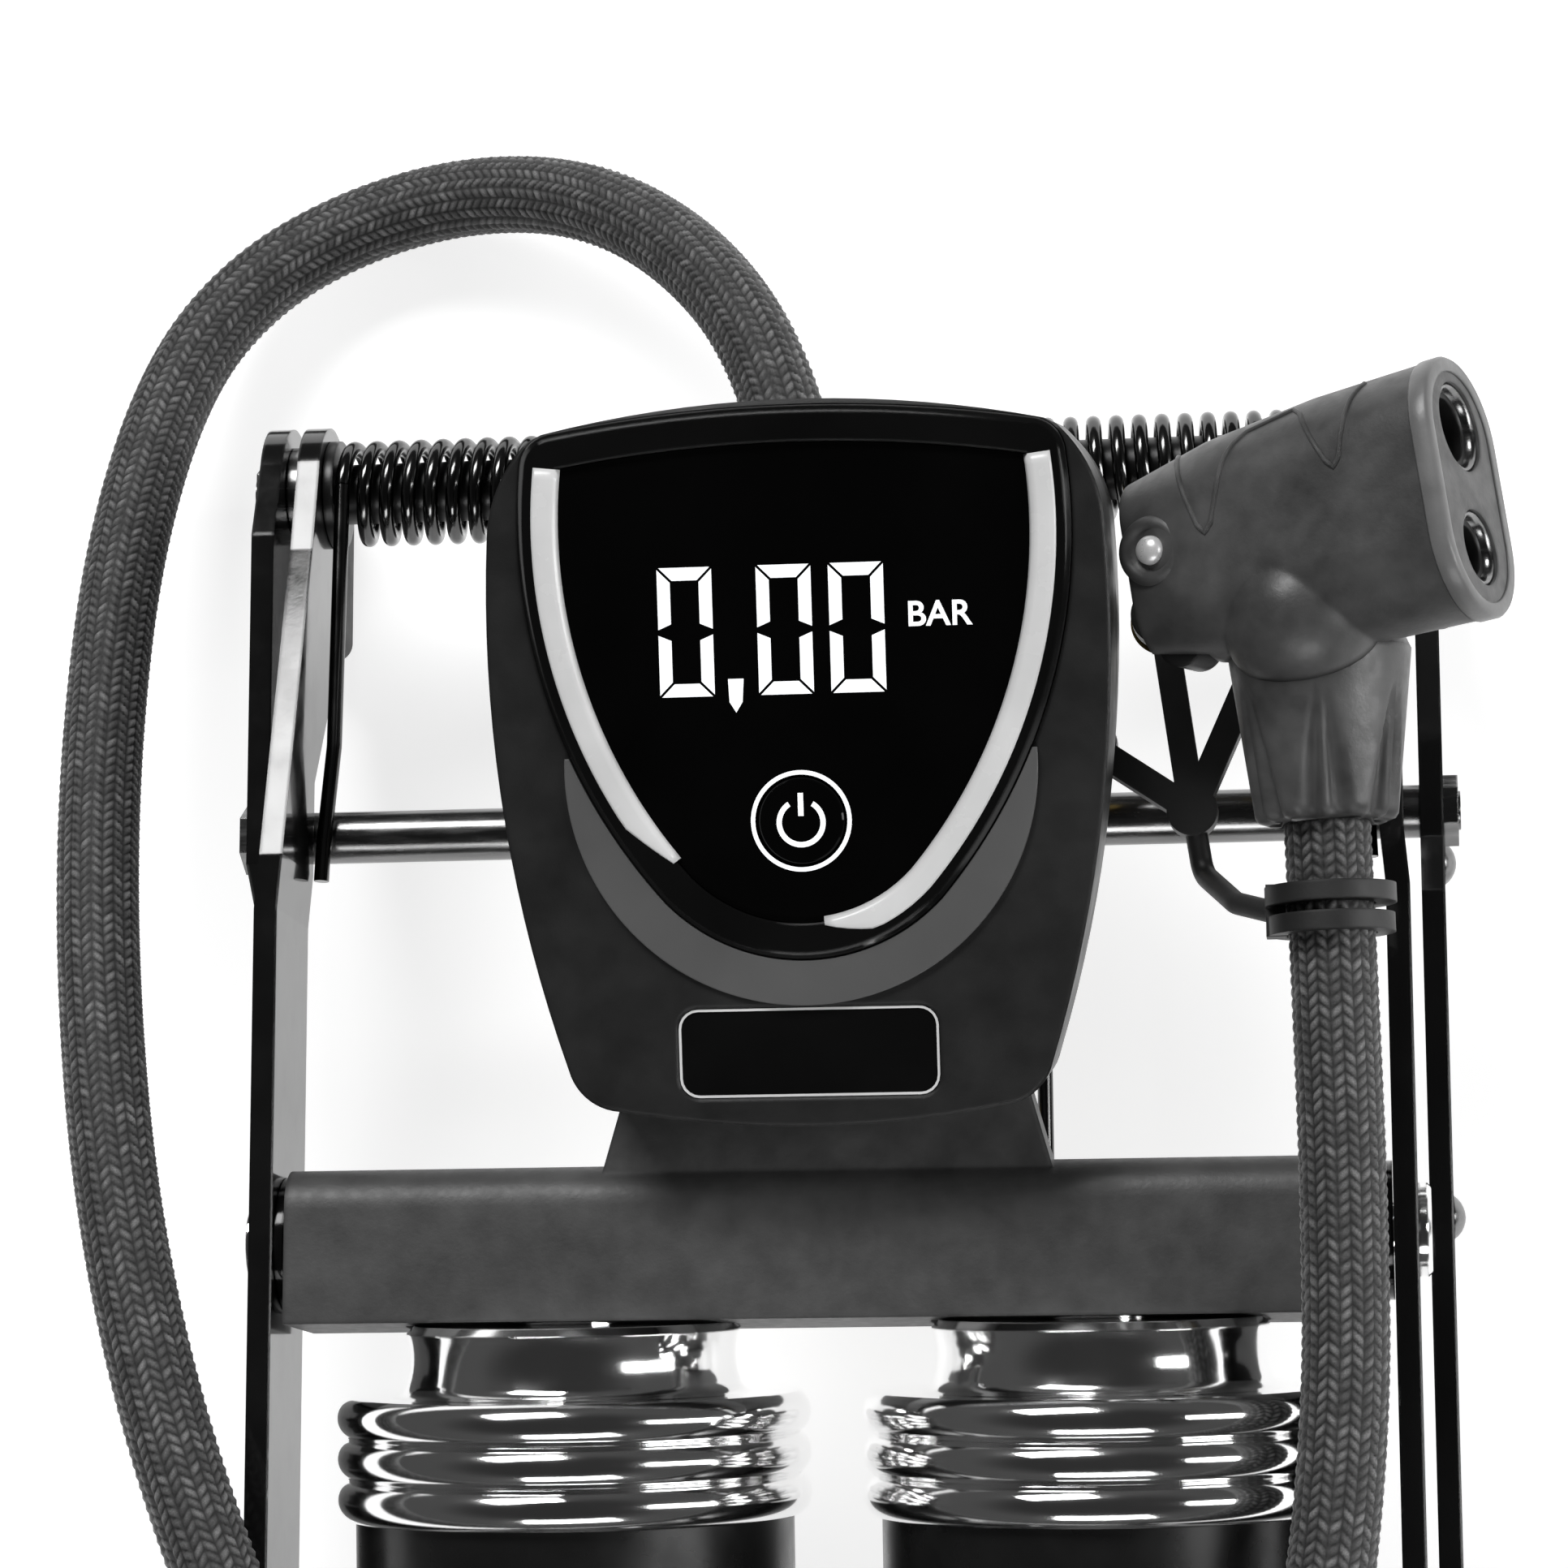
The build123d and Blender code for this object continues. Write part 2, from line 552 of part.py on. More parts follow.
def gauge_front_housing():
    shell = slab(gauge_outline(), SPLIT, 0)
    rim = shell.faces().sort_by(Axis.Z)[-1]
    shell = chamfer(rim.edges(), 0.9)
    shell -= slab(gauge_outline(2.2), SPLIT - 1, -3.4)
    shell -= slab(shield_outline(BEZEL_WIDTH + 0.1), -4.4, 2)
    shell -= slab(Pos(0, NAMEPLATE_Y) * RectangleRounded(32, 11, 2.5), -1.2, 1)
    return shell & block(-60, 60, 40, 160, GAUGE_FLOOR, 120)


def gauge_rear_housing():
    shell = slab(gauge_outline(0.6), -45, SPLIT) & block(-60, 60, 40, 160, GAUGE_FLOOR, 120)
    hollow = slab(gauge_outline(3.0), -45, SPLIT + 1) & block(-60, 60, 40, 160, GAUGE_FLOOR + 2.2, 120)
    shell -= hollow
    shell -= block(-15, 15, 92, 122, GAUGE_FLOOR - 1, GAUGE_FLOOR + 3)
    for x, y in SCREWS:
        shell += Pos(x, y, 61.5) * Cylinder(3.0, 11) & slab(gauge_outline(1), -45, SPLIT)
        shell -= Pos(x, y, 60) * Cylinder(1.3, 12)
    return shell


def gauge_screws():
    out = []
    for x, y in SCREWS:
        screw = Pos(x, y, 59.5) * Cylinder(1.25, 7) + Pos(x, y, 55.4) * Cylinder(2.6, 1.2)
        screw -= Pos(x, y, 54.8) * Box(0.8, 4.2, 1.0)
        out.append(screw)
    return group(out)


def gauge_bezel():
    """Glossy raised frame round the display window."""
    surround = slab(shield_outline(BEZEL_WIDTH), -3.4, 1.2)
    top = surround.faces().sort_by(Axis.Z)[-1]
    surround = chamfer(top.edges(), 0.7)
    return surround - slab(shield_outline(), -4, 3)


def gauge_lens():
    pane = slab(shield_outline(-0.1), -1.2, 0.5)
    return pane - slab(Pos(0, KEY_Y) * Circle(5.6), -2, 2)


def power_button():
    """Round key in the window's lower part."""
    key = slab(Pos(0, KEY_Y) * Circle(5.3), -2.6, 0.7)
    stem = slab(Pos(0, KEY_Y) * Circle(2.0), -5.0, -2.6)
    return chamfer((key + stem).faces().sort_by(Axis.Z)[-1].edges(), 0.3)


def gauge_display():
    return slab(Pos(0, 16) * Rectangle(44, 26), -5.4, -1.3)


def gauge_circuit_board():
    board = slab(RectangleRounded(50, 56, 3), -8.4, -6.8)
    chip = slab(Pos(12, -14) * Rectangle(9, 9), -9.6, -8.4)
    sensor = slab(Pos(-12, -18) * Circle(4), -11.4, -8.4)
    key_switch = slab(Pos(0, KEY_Y) * Rectangle(6, 6), -6.8, -6.0)
    return board + chip + sensor + key_switch


def gauge_battery():
    return Pos(0, 107, 60.2) * Cylinder(10, 3.2)


def battery_door():
    door = block(-14.9, 14.9, 92.1, 121.9, GAUGE_FLOOR, GAUGE_FLOOR + 2.2)
    return door - Pos(0, 99, GAUGE_FLOOR) * Box(16, 1.6, 1.4)


def gauge_face_panel():
    """Matt crescent below the window frame, standing a little proud of the housing."""
    bow = ThreePointArc((-28.8, 2.0), (0, -28.6), (28.8, 2.0))
    crescent = slab(make_face(bow + Line((28.8, 2.0), (-28.8, 2.0))), 0, 0.6)
    return crescent - slab(shield_outline(BEZEL_WIDTH + 0.15), -1, 2)


def gauge_nameplate():
    return slab(Pos(0, NAMEPLATE_Y) * RectangleRounded(31.8, 10.8, 2.4), -1.2, -0.3)


# ---------------------------------------------------------------- hose and what is on it
def corner_radii(route):
    """Largest tangent arcs: 0.45 of the shorter run over the tangent of half the turn."""
    points = [Vector(*p) for p in route]
    radii = []
    for before, here, after in zip(points, points[1:], points[2:]):
        a, b = here - before, after - here
        radii.append(0.45 * min(a.length, b.length) / tan(radians(a.get_angle(b)) / 2))
    return radii


def hose():
    radii = corner_radii(HOSE)
    path = FilletPolyline(*HOSE, radius=radii)
    tube = sweep(Plane(origin=path @ 0, z_dir=path % 0) * Circle(HOSE_R), path=path)
    print("hose radii", [round(r) for r in radii])
    print("hose length", round(path.length), "volume over section", round(tube.volume / (pi * HOSE_R**2)))
    return tube


def hose_swivel():
    """Ring on the manifold with a barb along +Y, which the hose is pushed on."""
    body = ring(-7, 7, PIVOT_Y, PIVOT_Z, SWIVEL_R, MANIFOLD_R + RUNNING)
    arm = Pos(0, 56, PIVOT_Z) * Rot(90, 0, 0) * Cylinder(HOSE_R, 12)
    arm -= Pos(0, 56, PIVOT_Z) * Rot(90, 0, 0) * Cylinder(2.2, 20)
    return body + (arm - bar(-20, 20, PIVOT_Y, PIVOT_Z, SWIVEL_R - 1))


def chuck_directions():
    """Along the chuck body to its mouths, and from one mouth to the other."""
    rise, turn = radians(CHUCK_RISE), radians(CHUCK_TURN)
    axis = Vector(cos(rise) * cos(turn), cos(rise) * sin(turn), sin(rise))
    return axis, Vector(-sin(turn), cos(turn), 0)


def chuck_plane(along=0.0):
    """Plane across the chuck body. Local x runs from mouth to mouth, local y upward across the body."""
    axis, across = chuck_directions()
    return Plane(origin=CHUCK_O + axis * along, x_dir=across, z_dir=axis)


def stadium(length, width, along):
    return chuck_plane(along) * SlotOverall(length, width)


def chuck_body():
    body = loft([stadium(23, 13, -20.5), stadium(28, 17.4, -9)])
    body += loft([stadium(28, 17.4, -9), stadium(31, 19, 6)])
    body += loft([stadium(31, 19, 6), stadium(32, 19.5, CHUCK_MOUTH)])
    neck_plane = Plane(origin=HOSE_END + HOSE_END_DIR * COLLAR_LENGTH, z_dir=HOSE_END_DIR)
    hood = CHUCK_O + Vector(0.5, -10.3, -0.4)
    body += loft([neck_plane * Circle(11.2), Plane(origin=hood, z_dir=(-0.15, 1, 0.1)) * Circle(10.2)])
    body += Pos(*hood) * Sphere(10.2)
    for side, r in VALVE_SOCKETS:
        recess = Pos(side * VALVE_PITCH / 2, 0, CHUCK_MOUTH - 6.5) * Cylinder(r + 1.6, 14)
        body -= chuck_plane().location * recess
    slot = block(-24, 0, -3.6, 14, -3.1, 3.1) + block(-1, 4.2, 0, 14, -3.1, 3.1) + Cylinder(4.2, 6.2)
    body -= thumb_axis().location * slot
    body -= thumb_pin_hole(1.55)
    return body - chuck_collar_blank()


def thumb_axis():
    """Pivot of the thumb lever, across the body near its left end."""
    axis, across = chuck_directions()
    return Plane(origin=CHUCK_O + axis * THUMB_ALONG + across, x_dir=across, z_dir=axis.cross(across))


def thumb_pin_hole(r):
    return thumb_axis().location * Cylinder(r, 30)


def chuck_pin():
    return thumb_axis().location * Cylinder(1.5, 15)


def chuck_thumb_lever():
    """Cam lever in the body's slot, folded back along the hose side."""
    cam = thumb_axis().location * Cylinder(3.6, 5.6)
    arm = thumb_axis().location * Pos(-6, 0, 0) * Box(10, 6.2, 5.6)
    tip = thumb_axis().location * Pos(-11, 0, 0) * Cylinder(3.1, 5.6)
    return cam + arm + tip - thumb_pin_hole(1.55)


def valve_seals():
    out = []
    for side, r in VALVE_SOCKETS:
        seal = Cylinder(r + 1.6, 10) - Cylinder(r, 20)
        out.append(chuck_plane().location * Pos(side * VALVE_PITCH / 2, 0, CHUCK_MOUTH - 6.5) * seal)
    return group(out)


def hose_end_place():
    return Plane(origin=HOSE_END, z_dir=HOSE_END_DIR).location


def chuck_collar_blank():
    return hose_end_place() * Pos(0, 0, COLLAR_LENGTH / 2) * Cone(8.6, 11.2, COLLAR_LENGTH)


def chuck_collar():
    """Fluted ferrule between hose and chuck, wider towards the chuck."""
    cone = chuck_collar_blank()
    for i in range(16):
        groove = Rot(0, 0, i * 22.5) * Pos(11.6, 0, COLLAR_LENGTH / 2) * Cylinder(1.1, COLLAR_LENGTH + 4)
        cone -= hose_end_place() * groove
    return cone


def strap_arm(end):
    """Flat rubber arm in plan, from the middle of the spider to one adapter's eye."""
    dx, dy = end[0] - SPIDER[0], end[1] - SPIDER[1]
    arm = SlotCenterToCenter(hypot(dx, dy), 3.4, rotation=degrees(atan2(dy, dx)))
    return Pos(SPIDER[0] + dx / 2, SPIDER[1] + dy / 2) * arm + Pos(*end) * Circle(3.9)


def adapter_strap():
    """Rubber strap: two bands round the hose, and a three-armed holder for the adapters."""
    middle = HOSE_END - HOSE_END_DIR * BAND_BACK
    hole = Plane(origin=middle, z_dir=HOSE_END_DIR).location * Cylinder(HOSE_R + 0.3, 40)
    strap = Pos(middle.X - 6.6, middle.Y, middle.Z - 0.6) * Box(2.6, 6.4, 2.6)
    for along, r in ((-1.8, 7.7), (1.8, 8.0)):
        strap += Plane(origin=middle + HOSE_END_DIR * along, z_dir=HOSE_END_DIR).location * Cylinder(r, 2.3)
    tail = FilletPolyline(
        (middle.X - 6.8, middle.Y, middle.Z - 1.2), (51.5, 83.5, 60),
        (47.2, 88.5, SPIDER_Z), (*SPIDER, SPIDER_Z),
        radius=3,
    )
    strap += sweep(Plane(origin=tail @ 0, z_dir=tail % 0) * Circle(1.4), path=tail)
    strap -= hole
    plan = Pos(*SPIDER) * Circle(3.2)
    for end in SPIDER_ENDS.values():
        plan += strap_arm(end)
    for end in SPIDER_ENDS.values():
        plan -= Pos(*end) * Circle(PLUG_R)
    return strap + Pos(0, 0, SPIDER_Z - 1.6) * extrude(plan, 3.2)


def adapter(name, foot):
    """Brass adapter: a plug held in its eye of the strap, with a foot of its own shape below."""
    x, y = SPIDER_ENDS[name]
    return Pos(x, y, SPIDER_Z) * (Cylinder(PLUG_R, 7) + foot)


def ball_needle():
    return adapter("ball_needle", Pos(0, 0, -5.5) * Cylinder(2.9, 4) + Pos(0, 0, -10) * Cylinder(0.9, 6))


def cone_nozzle():
    return adapter("cone_nozzle", Pos(0, 0, -7.5) * Cone(2.0, 4.2, 8))


def presta_adapter():
    return adapter("presta_adapter", Pos(0, 0, -6) * Cylinder(3.4, 5))


# ---------------------------------------------------------------- writing
def build():
    nodes = {}
    rail, lever, coil = base_rail(), lever_rail(), spring()
    for name, right in (("base_rail", rail), ("lever_rail", lever), ("spring", coil)):
        nodes[name + "_right"] = right
        nodes[name + "_left"] = right.mirror(Plane.YZ)
    for side, x in (("left", -CYL_X), ("right", CYL_X)):
        nodes["cylinder_head_" + side] = cylinder_head(x)
        nodes["cylinder_tube_" + side] = cylinder_tube(x)
        nodes["piston_rod_" + side] = piston_rod(x)
    nodes["end_caps"] = group([end_cap(-CYL_X), end_cap(CYL_X)])
    nodes["pistons"] = group([piston(-CYL_X), piston(CYL_X)])
    nodes["piston_cups"] = group([piston_cup(-CYL_X), piston_cup(CYL_X)])
    nodes["check_valves"] = group([check_valve(-CYL_X), check_valve(CYL_X)])
    for make in (
        front_cross_plate, base_rivets, rubber_feet, cross_shaft, cross_shaft_nuts, hinge_shaft, hinge_nuts,
        hinge_washers, hinge_spacers, pedal_plate, pedal_rivets, pedal_tread, lever_cross_tube,
        crosshead_rivets, crosshead_washers, latch_hook, latch_pin, crosshead, air_manifold,
        front_shaft, front_shaft_nuts,
        gauge_front_housing, gauge_rear_housing, gauge_screws, gauge_bezel, gauge_lens, power_button,
        gauge_display, gauge_circuit_board, gauge_battery, battery_door, gauge_face_panel, gauge_nameplate,
        hose, hose_swivel, chuck_body, chuck_pin, chuck_thumb_lever, valve_seals, chuck_collar, adapter_strap,
        ball_needle, cone_nozzle, presta_adapter,
    ):
        nodes[make.__name__] = make()
    return nodes


os.makedirs("parts", exist_ok=True)
for node_name, shape in build().items():
    export_step(shape, "parts/" + node_name + ".step")
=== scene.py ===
"""Looks for the double-cylinder foot pump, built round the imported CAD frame. Metres, +Z up."""

import json
import math

import bpy
from mathutils import Matrix, Vector


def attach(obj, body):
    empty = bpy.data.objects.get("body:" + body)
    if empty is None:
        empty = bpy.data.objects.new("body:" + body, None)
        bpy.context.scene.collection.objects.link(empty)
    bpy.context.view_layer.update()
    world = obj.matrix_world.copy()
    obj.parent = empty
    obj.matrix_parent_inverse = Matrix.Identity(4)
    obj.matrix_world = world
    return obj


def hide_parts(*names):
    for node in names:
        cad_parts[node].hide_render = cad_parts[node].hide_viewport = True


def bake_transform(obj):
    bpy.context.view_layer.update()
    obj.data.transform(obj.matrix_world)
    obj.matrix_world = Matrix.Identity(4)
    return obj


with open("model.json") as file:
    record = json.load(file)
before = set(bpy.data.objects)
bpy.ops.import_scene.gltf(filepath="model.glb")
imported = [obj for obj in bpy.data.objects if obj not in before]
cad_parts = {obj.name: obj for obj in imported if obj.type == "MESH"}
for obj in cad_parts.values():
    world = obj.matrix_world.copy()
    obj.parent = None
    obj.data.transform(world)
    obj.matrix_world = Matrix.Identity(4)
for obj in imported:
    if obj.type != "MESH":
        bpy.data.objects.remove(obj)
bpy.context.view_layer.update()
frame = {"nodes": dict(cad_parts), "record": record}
MM = 0.001
SHEET = 0.1 * MM  # thickness given to an open skin


# ------------------------------------------------------------------ camera
CAMERA_AIM = Vector((-0.0049, 0.1003, 0.0576))
CAMERA_TOWARDS = Vector((0.130, -0.180, 1.0)).normalized()
CAMERA_DISTANCE = 0.620
CAMERA_LENS = 113.3
CAMERA_ROLL = -0.003


def make_camera():
    data = bpy.data.cameras.new("camera")
    data.lens = CAMERA_LENS
    data.sensor_width = 36
    data.clip_start = 0.01
    camera = bpy.data.objects.new("camera", data)
    bpy.context.scene.collection.objects.link(camera)
    side = Vector((0, 1, 0)).cross(CAMERA_TOWARDS).normalized()
    up = CAMERA_TOWARDS.cross(side)
    turn = Matrix((side, up, CAMERA_TOWARDS)).transposed().to_4x4()
    place = Matrix.Translation(CAMERA_AIM + CAMERA_TOWARDS * CAMERA_DISTANCE)
    camera.matrix_world = place @ turn @ Matrix.Rotation(CAMERA_ROLL, 4, "Z")
    bpy.context.scene.camera = camera


make_camera()


# ------------------------------------------------------------------ small helpers
def link(obj):
    bpy.context.scene.collection.objects.link(obj)
    return obj


def mesh_object(name, verts, faces, smooth=True):
    mesh = bpy.data.meshes.new(name)
    mesh.from_pydata([tuple(v) for v in verts], [], faces)
    mesh.update()
    if smooth:
        mesh.polygons.foreach_set("use_smooth", [True] * len(mesh.polygons))
    return link(bpy.data.objects.new(name, mesh))


def tube_faces(rings, around):
    """Faces of a closed tube whose vertices come ring by ring, with both ends capped."""
    faces = []
    for i in range(rings - 1):
        for k in range(around):
            a, b = i * around + k, i * around + (k + 1) % around
            faces.append((a, b, b + around, a + around))
    faces.append(tuple(reversed(range(around))))
    faces.append(tuple(range((rings - 1) * around, rings * around)))
    return faces


def thicken(obj):
    """Give an open skin a thickness of its own, so that it is a solid sheet."""
    sheet = obj.modifiers.new("thickness", "SOLIDIFY")
    sheet.thickness, sheet.offset = SHEET, 0.0


def finish_piece(obj, material, body):
    obj.data.materials.clear()
    obj.data.materials.append(material)
    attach(obj, body)
    return obj


# ------------------------------------------------------------------ materials
class Nodes:
    """A material's node tree with short calls for the nodes used here."""

    def __init__(self, name):
        self.material = bpy.data.materials.new(name)
        self.material.use_nodes = True
        self.tree = self.material.node_tree
        self.shader = self.tree.nodes["Principled BSDF"]

    def add(self, kind, **values):
        node = self.tree.nodes.new(kind)
        for key, value in values.items():
            setattr(node, key, value)
        return node

    def join(self, source, target):
        self.tree.links.new(source, target)

    def set(self, socket, value):
        self.shader.inputs[socket].default_value = value

    def noise(self, scale, detail=4.0, roughness=0.5, stretch=None):
        place = self.add("ShaderNodeTexCoord").outputs["Object"]
        if stretch:
            mapping = self.add("ShaderNodeMapping")
            mapping.inputs["Scale"].default_value = stretch
            self.join(place, mapping.inputs["Vector"])
            place = mapping.outputs["Vector"]
        node = self.add("ShaderNodeTexNoise")
        node.inputs["Scale"].default_value = scale
        node.inputs["Detail"].default_value = detail
        node.inputs["Roughness"].default_value = roughness
        self.join(place, node.inputs["Vector"])
        return node.outputs["Fac"]

    def span(self, value, low, high, start=0.3, end=0.7):
        node = self.add("ShaderNodeMapRange")
        node.inputs["From Min"].default_value = start
        node.inputs["From Max"].default_value = end
        node.inputs["To Min"].default_value = low
        node.inputs["To Max"].default_value = high
        self.join(value, node.inputs["Value"])
        return node.outputs["Result"]

    def colours(self, value, dark, light):
        node = self.add("ShaderNodeMix", data_type="RGBA")
        node.inputs["A"].default_value = (*dark, 1)
        node.inputs["B"].default_value = (*light, 1)
        self.join(value, node.inputs["Factor"])
        self.join(node.outputs["Result"], self.shader.inputs["Base Color"])

    def bump(self, value, strength, distance, edge=0.0):
        node = self.add("ShaderNodeBump")
        node.inputs["Strength"].default_value = strength
        node.inputs["Distance"].default_value = distance
        self.join(value, node.inputs["Height"])
        if edge:
            rounded = self.add("ShaderNodeBevel", samples=4)
            rounded.inputs["Radius"].default_value = edge
            self.join(rounded.outputs["Normal"], node.inputs["Normal"])
        self.join(node.outputs["Normal"], self.shader.inputs["Normal"])


def grey(value):
    return (value, value, value)


def surface(name, dark, light, rough, metal=0.0, mottle=60, grain=900, relief=0.05, depth=0.0001, coat=0.0,
            stretch=None, edge=0.0003, level=0.5):
    """Finish with mottled colour, uneven gloss, rounded edges and a fine grain in relief."""
    n = Nodes(name)
    patches = n.noise(mottle, stretch=stretch)
    n.colours(n.span(patches, 0, 1), dark, light)
    n.join(n.span(n.noise(mottle * 3.1, stretch=stretch), rough[0], rough[1]), n.shader.inputs["Roughness"])
    n.set("Metallic", metal)
    n.set("Coat Weight", coat)
    n.set("Coat Roughness", 0.05)
    n.set("Specular IOR Level", level)
    n.bump(n.noise(grain, 3.0, 0.6, stretch), relief, depth, edge)
    return n.material


MAT = {
    "black_paint": surface("black_paint", grey(0.004), grey(0.008), (0.08, 0.2), grain=420, relief=0.10,
                           coat=0.5, edge=0.0006),
    "chrome": surface("chrome", grey(0.9), grey(0.97), (0.06, 0.14), metal=1.0, mottle=40, grain=260,
                      relief=0.05, edge=0.0004),
    "zinc": surface("zinc", grey(0.16), grey(0.26), (0.16, 0.3), metal=1.0, stretch=(1, 8, 8)),
    "spring_steel": surface("spring_steel", grey(0.07), grey(0.13), (0.10, 0.2), metal=1.0, edge=0.0),
    "black_tube": surface("black_tube", grey(0.006), grey(0.010), (0.24, 0.34), grain=1500, relief=0.06),
    "black_gloss_plastic": surface("black_gloss_plastic", grey(0.003), grey(0.005), (0.06, 0.12), relief=0.02,
                                   coat=0.1, edge=0.0005, level=0.3),
    "charcoal_plastic": surface("charcoal_plastic", grey(0.009), grey(0.016), (0.34, 0.46), grain=2600,
                                relief=0.22, edge=0.0008),
    "cast": surface("cast", grey(0.040), grey(0.088), (0.34, 0.5), mottle=150, grain=1900, relief=0.25,
                    edge=0.0011),
    "pale_steel": surface("pale_steel", grey(0.72), grey(0.9), (0.25, 0.4), metal=0.35, mottle=300),
    # cast_edge: a paler copy of cast, laid over the chuck's end-face edge as a painted highlight
    "cast_edge": surface("cast_edge", grey(0.13), grey(0.19), (0.3, 0.42), mottle=150, grain=1900,
                         relief=0.2),
    "powder_coat": surface("powder_coat", grey(0.046), grey(0.072), (0.42, 0.52), mottle=220, grain=1700,
                           relief=0.32, edge=0.0009),
    "grey_panel": surface("grey_panel", grey(0.085), grey(0.10), (0.4, 0.5), grain=2600, relief=0.12),
    "black_plastic": surface("black_plastic", grey(0.006), grey(0.012), (0.26, 0.4), grain=2200, relief=0.12,
                             edge=0.0006),
    "window": surface("window", grey(0.0012), grey(0.002), (0.03, 0.06), relief=0.004, edge=0.0, level=0.12),
    "display": surface("display", grey(0.004), grey(0.008), (0.1, 0.2), relief=0.01),
    "board": surface("board", (0.01, 0.06, 0.03), (0.02, 0.10, 0.05), (0.3, 0.4)),
    "battery_can": surface("battery_can", grey(0.5), grey(0.62), (0.2, 0.3), metal=1.0),
    "brass": surface("brass", (0.42, 0.30, 0.10), (0.55, 0.42, 0.18), (0.2, 0.32), metal=1.0),
    "rubber": surface("rubber", grey(0.010), grey(0.018), (0.42, 0.58), grain=1600, relief=0.2, edge=0.0004),
    "lit": surface("lit", grey(0.84), grey(0.9), (0.3, 0.4), relief=0.0, edge=0.0),
    # trim: pale satin colour; on the two window strips it is a painted reflection of the studio light in the
    # window's dark bevel, and it also makes the fine bright nameplate edge
    "trim": surface("trim", grey(0.66), grey(0.80), (0.2, 0.3), relief=0.02, edge=0.0),
}
LIT_COLOUR, LIT_GLOW = (0.92, 0.96, 1.0, 1), 0.5
lit_shader = MAT["lit"].node_tree.nodes["Principled BSDF"]
lit_shader.inputs["Emission Color"].default_value = LIT_COLOUR
lit_shader.inputs["Emission Strength"].default_value = LIT_GLOW
CAST_NODES = ("chuck_body",)
COATED_NODES = ("crosshead",)
SLOT_OF = {entry["node"]: entry["material_slot"] for entry in frame["record"]["subparts"]}


def finish_frame():
    """Every CAD node but the rebuilt hose gets its slot's procedural finish, and two get one of their own."""
    for name, obj in frame["nodes"].items():
        finish = SLOT_OF[name]
        if name in CAST_NODES:
            finish = "cast"
        if name in COATED_NODES:
            finish = "powder_coat"
        if finish in MAT:
            obj.data.materials.clear()
            obj.data.materials.append(MAT[finish])


finish_frame()


# ------------------------------------------------------------------ hose
HOSE_D = 0.0104
HOSE_POINTS = [Vector(p) * MM for p in (
    (0, 62, 48.6), (0, 89, 48.6), (-0.8, 116, 48), (-3.5, 142, 46.2), (-10.5, 164, 38.5), (-22.5, 180, 27.5),
    (-37.5, 190.4, 17.5), (-55, 194, 9.5), (-72, 190.8, 6.9), (-86, 182, 9.5), (-95, 167, 16), (-99, 141, 27),
    (-98.3, 110, 39.5), (-94.5, 79, 52.5), (-88.5, 47, 62.5), (-79.5, 17, 68.5), (-66, -13, 73.5),
    (-45, -40, 77.5), (-15, -56, 79.2), (18, -55.5, 79), (46, -38, 77), (60, -10, 72), (63.8, 20, 67.6),
    (64, 46, 65.8), (63.5, 70, 66), (63, 92, 67),
)]
BRAID_COLUMNS = 22
BRAID_CELL = 0.00142
BRAID_SLANT = 0.8
BRAID_RELIEF = 0.00045
RINGS_PER_CELL = 4
SAMPLES_PER_COLUMN = 4


def spline_points(points):
    """Points along the smooth curve that has these control points."""
    data = bpy.data.curves.new("hose_line", "CURVE")
    data.dimensions = "3D"
    spline = data.splines.new("NURBS")
    spline.points.add(len(points) - 1)
    for target, p in zip(spline.points, points):
        target.co = (*p, 1)
    spline.order_u = 3
    spline.use_endpoint_u = True
    spline.resolution_u = 32
    holder = link(bpy.data.objects.new("hose_line", data))
    mesh = bpy.data.meshes.new_from_object(holder)
    line = [v.co.copy() for v in mesh.vertices]
    bpy.data.objects.remove(holder)
    bpy.data.meshes.remove(mesh)
    return line


def even_points(line, step):
    """The same line with points an even step apart."""
    lengths = [0.0]
    for a, b in zip(line, line[1:]):
        lengths.append(lengths[-1] + (b - a).length)
    count = round(lengths[-1] / step)
    out, i = [], 0
    for k in range(count + 1):
        s = lengths[-1] * k / count
        while i < len(line) - 2 and lengths[i + 1] < s:
            i += 1
        t = (s - lengths[i]) / max(lengths[i + 1] - lengths[i], 1e-9)
        out.append(line[i].lerp(line[i + 1], t))
    return out, lengths[-1]


def frames_along(line):
    """A sideways and an upward direction at each point, carried along without twist."""
    out = []
    tangent = (line[1] - line[0]).normalized()
    side = tangent.orthogonal().normalized()
    for i, p in enumerate(line):
        ahead = line[min(i + 1, len(line) - 1)]
        behind = line[max(i - 1, 0)]
        tangent = (ahead - behind).normalized()
        side = (side - tangent * side.dot(tangent)).normalized()
        out.append((p, side, tangent.cross(side)))
    return out


def braid_height(column_place, along):
    """Relief of the herringbone weave, 0 in a groove to 1 on a yarn."""
    column = math.floor(column_place)
    across = column_place - column
    sign = 1 if column % 2 else -1
    phase = along + sign * BRAID_SLANT * (across - 0.5)
    yarn = abs(math.sin(math.pi * phase)) ** 0.8
    return yarn * (0.2 + 0.8 * math.sin(math.pi * across) ** 0.6)


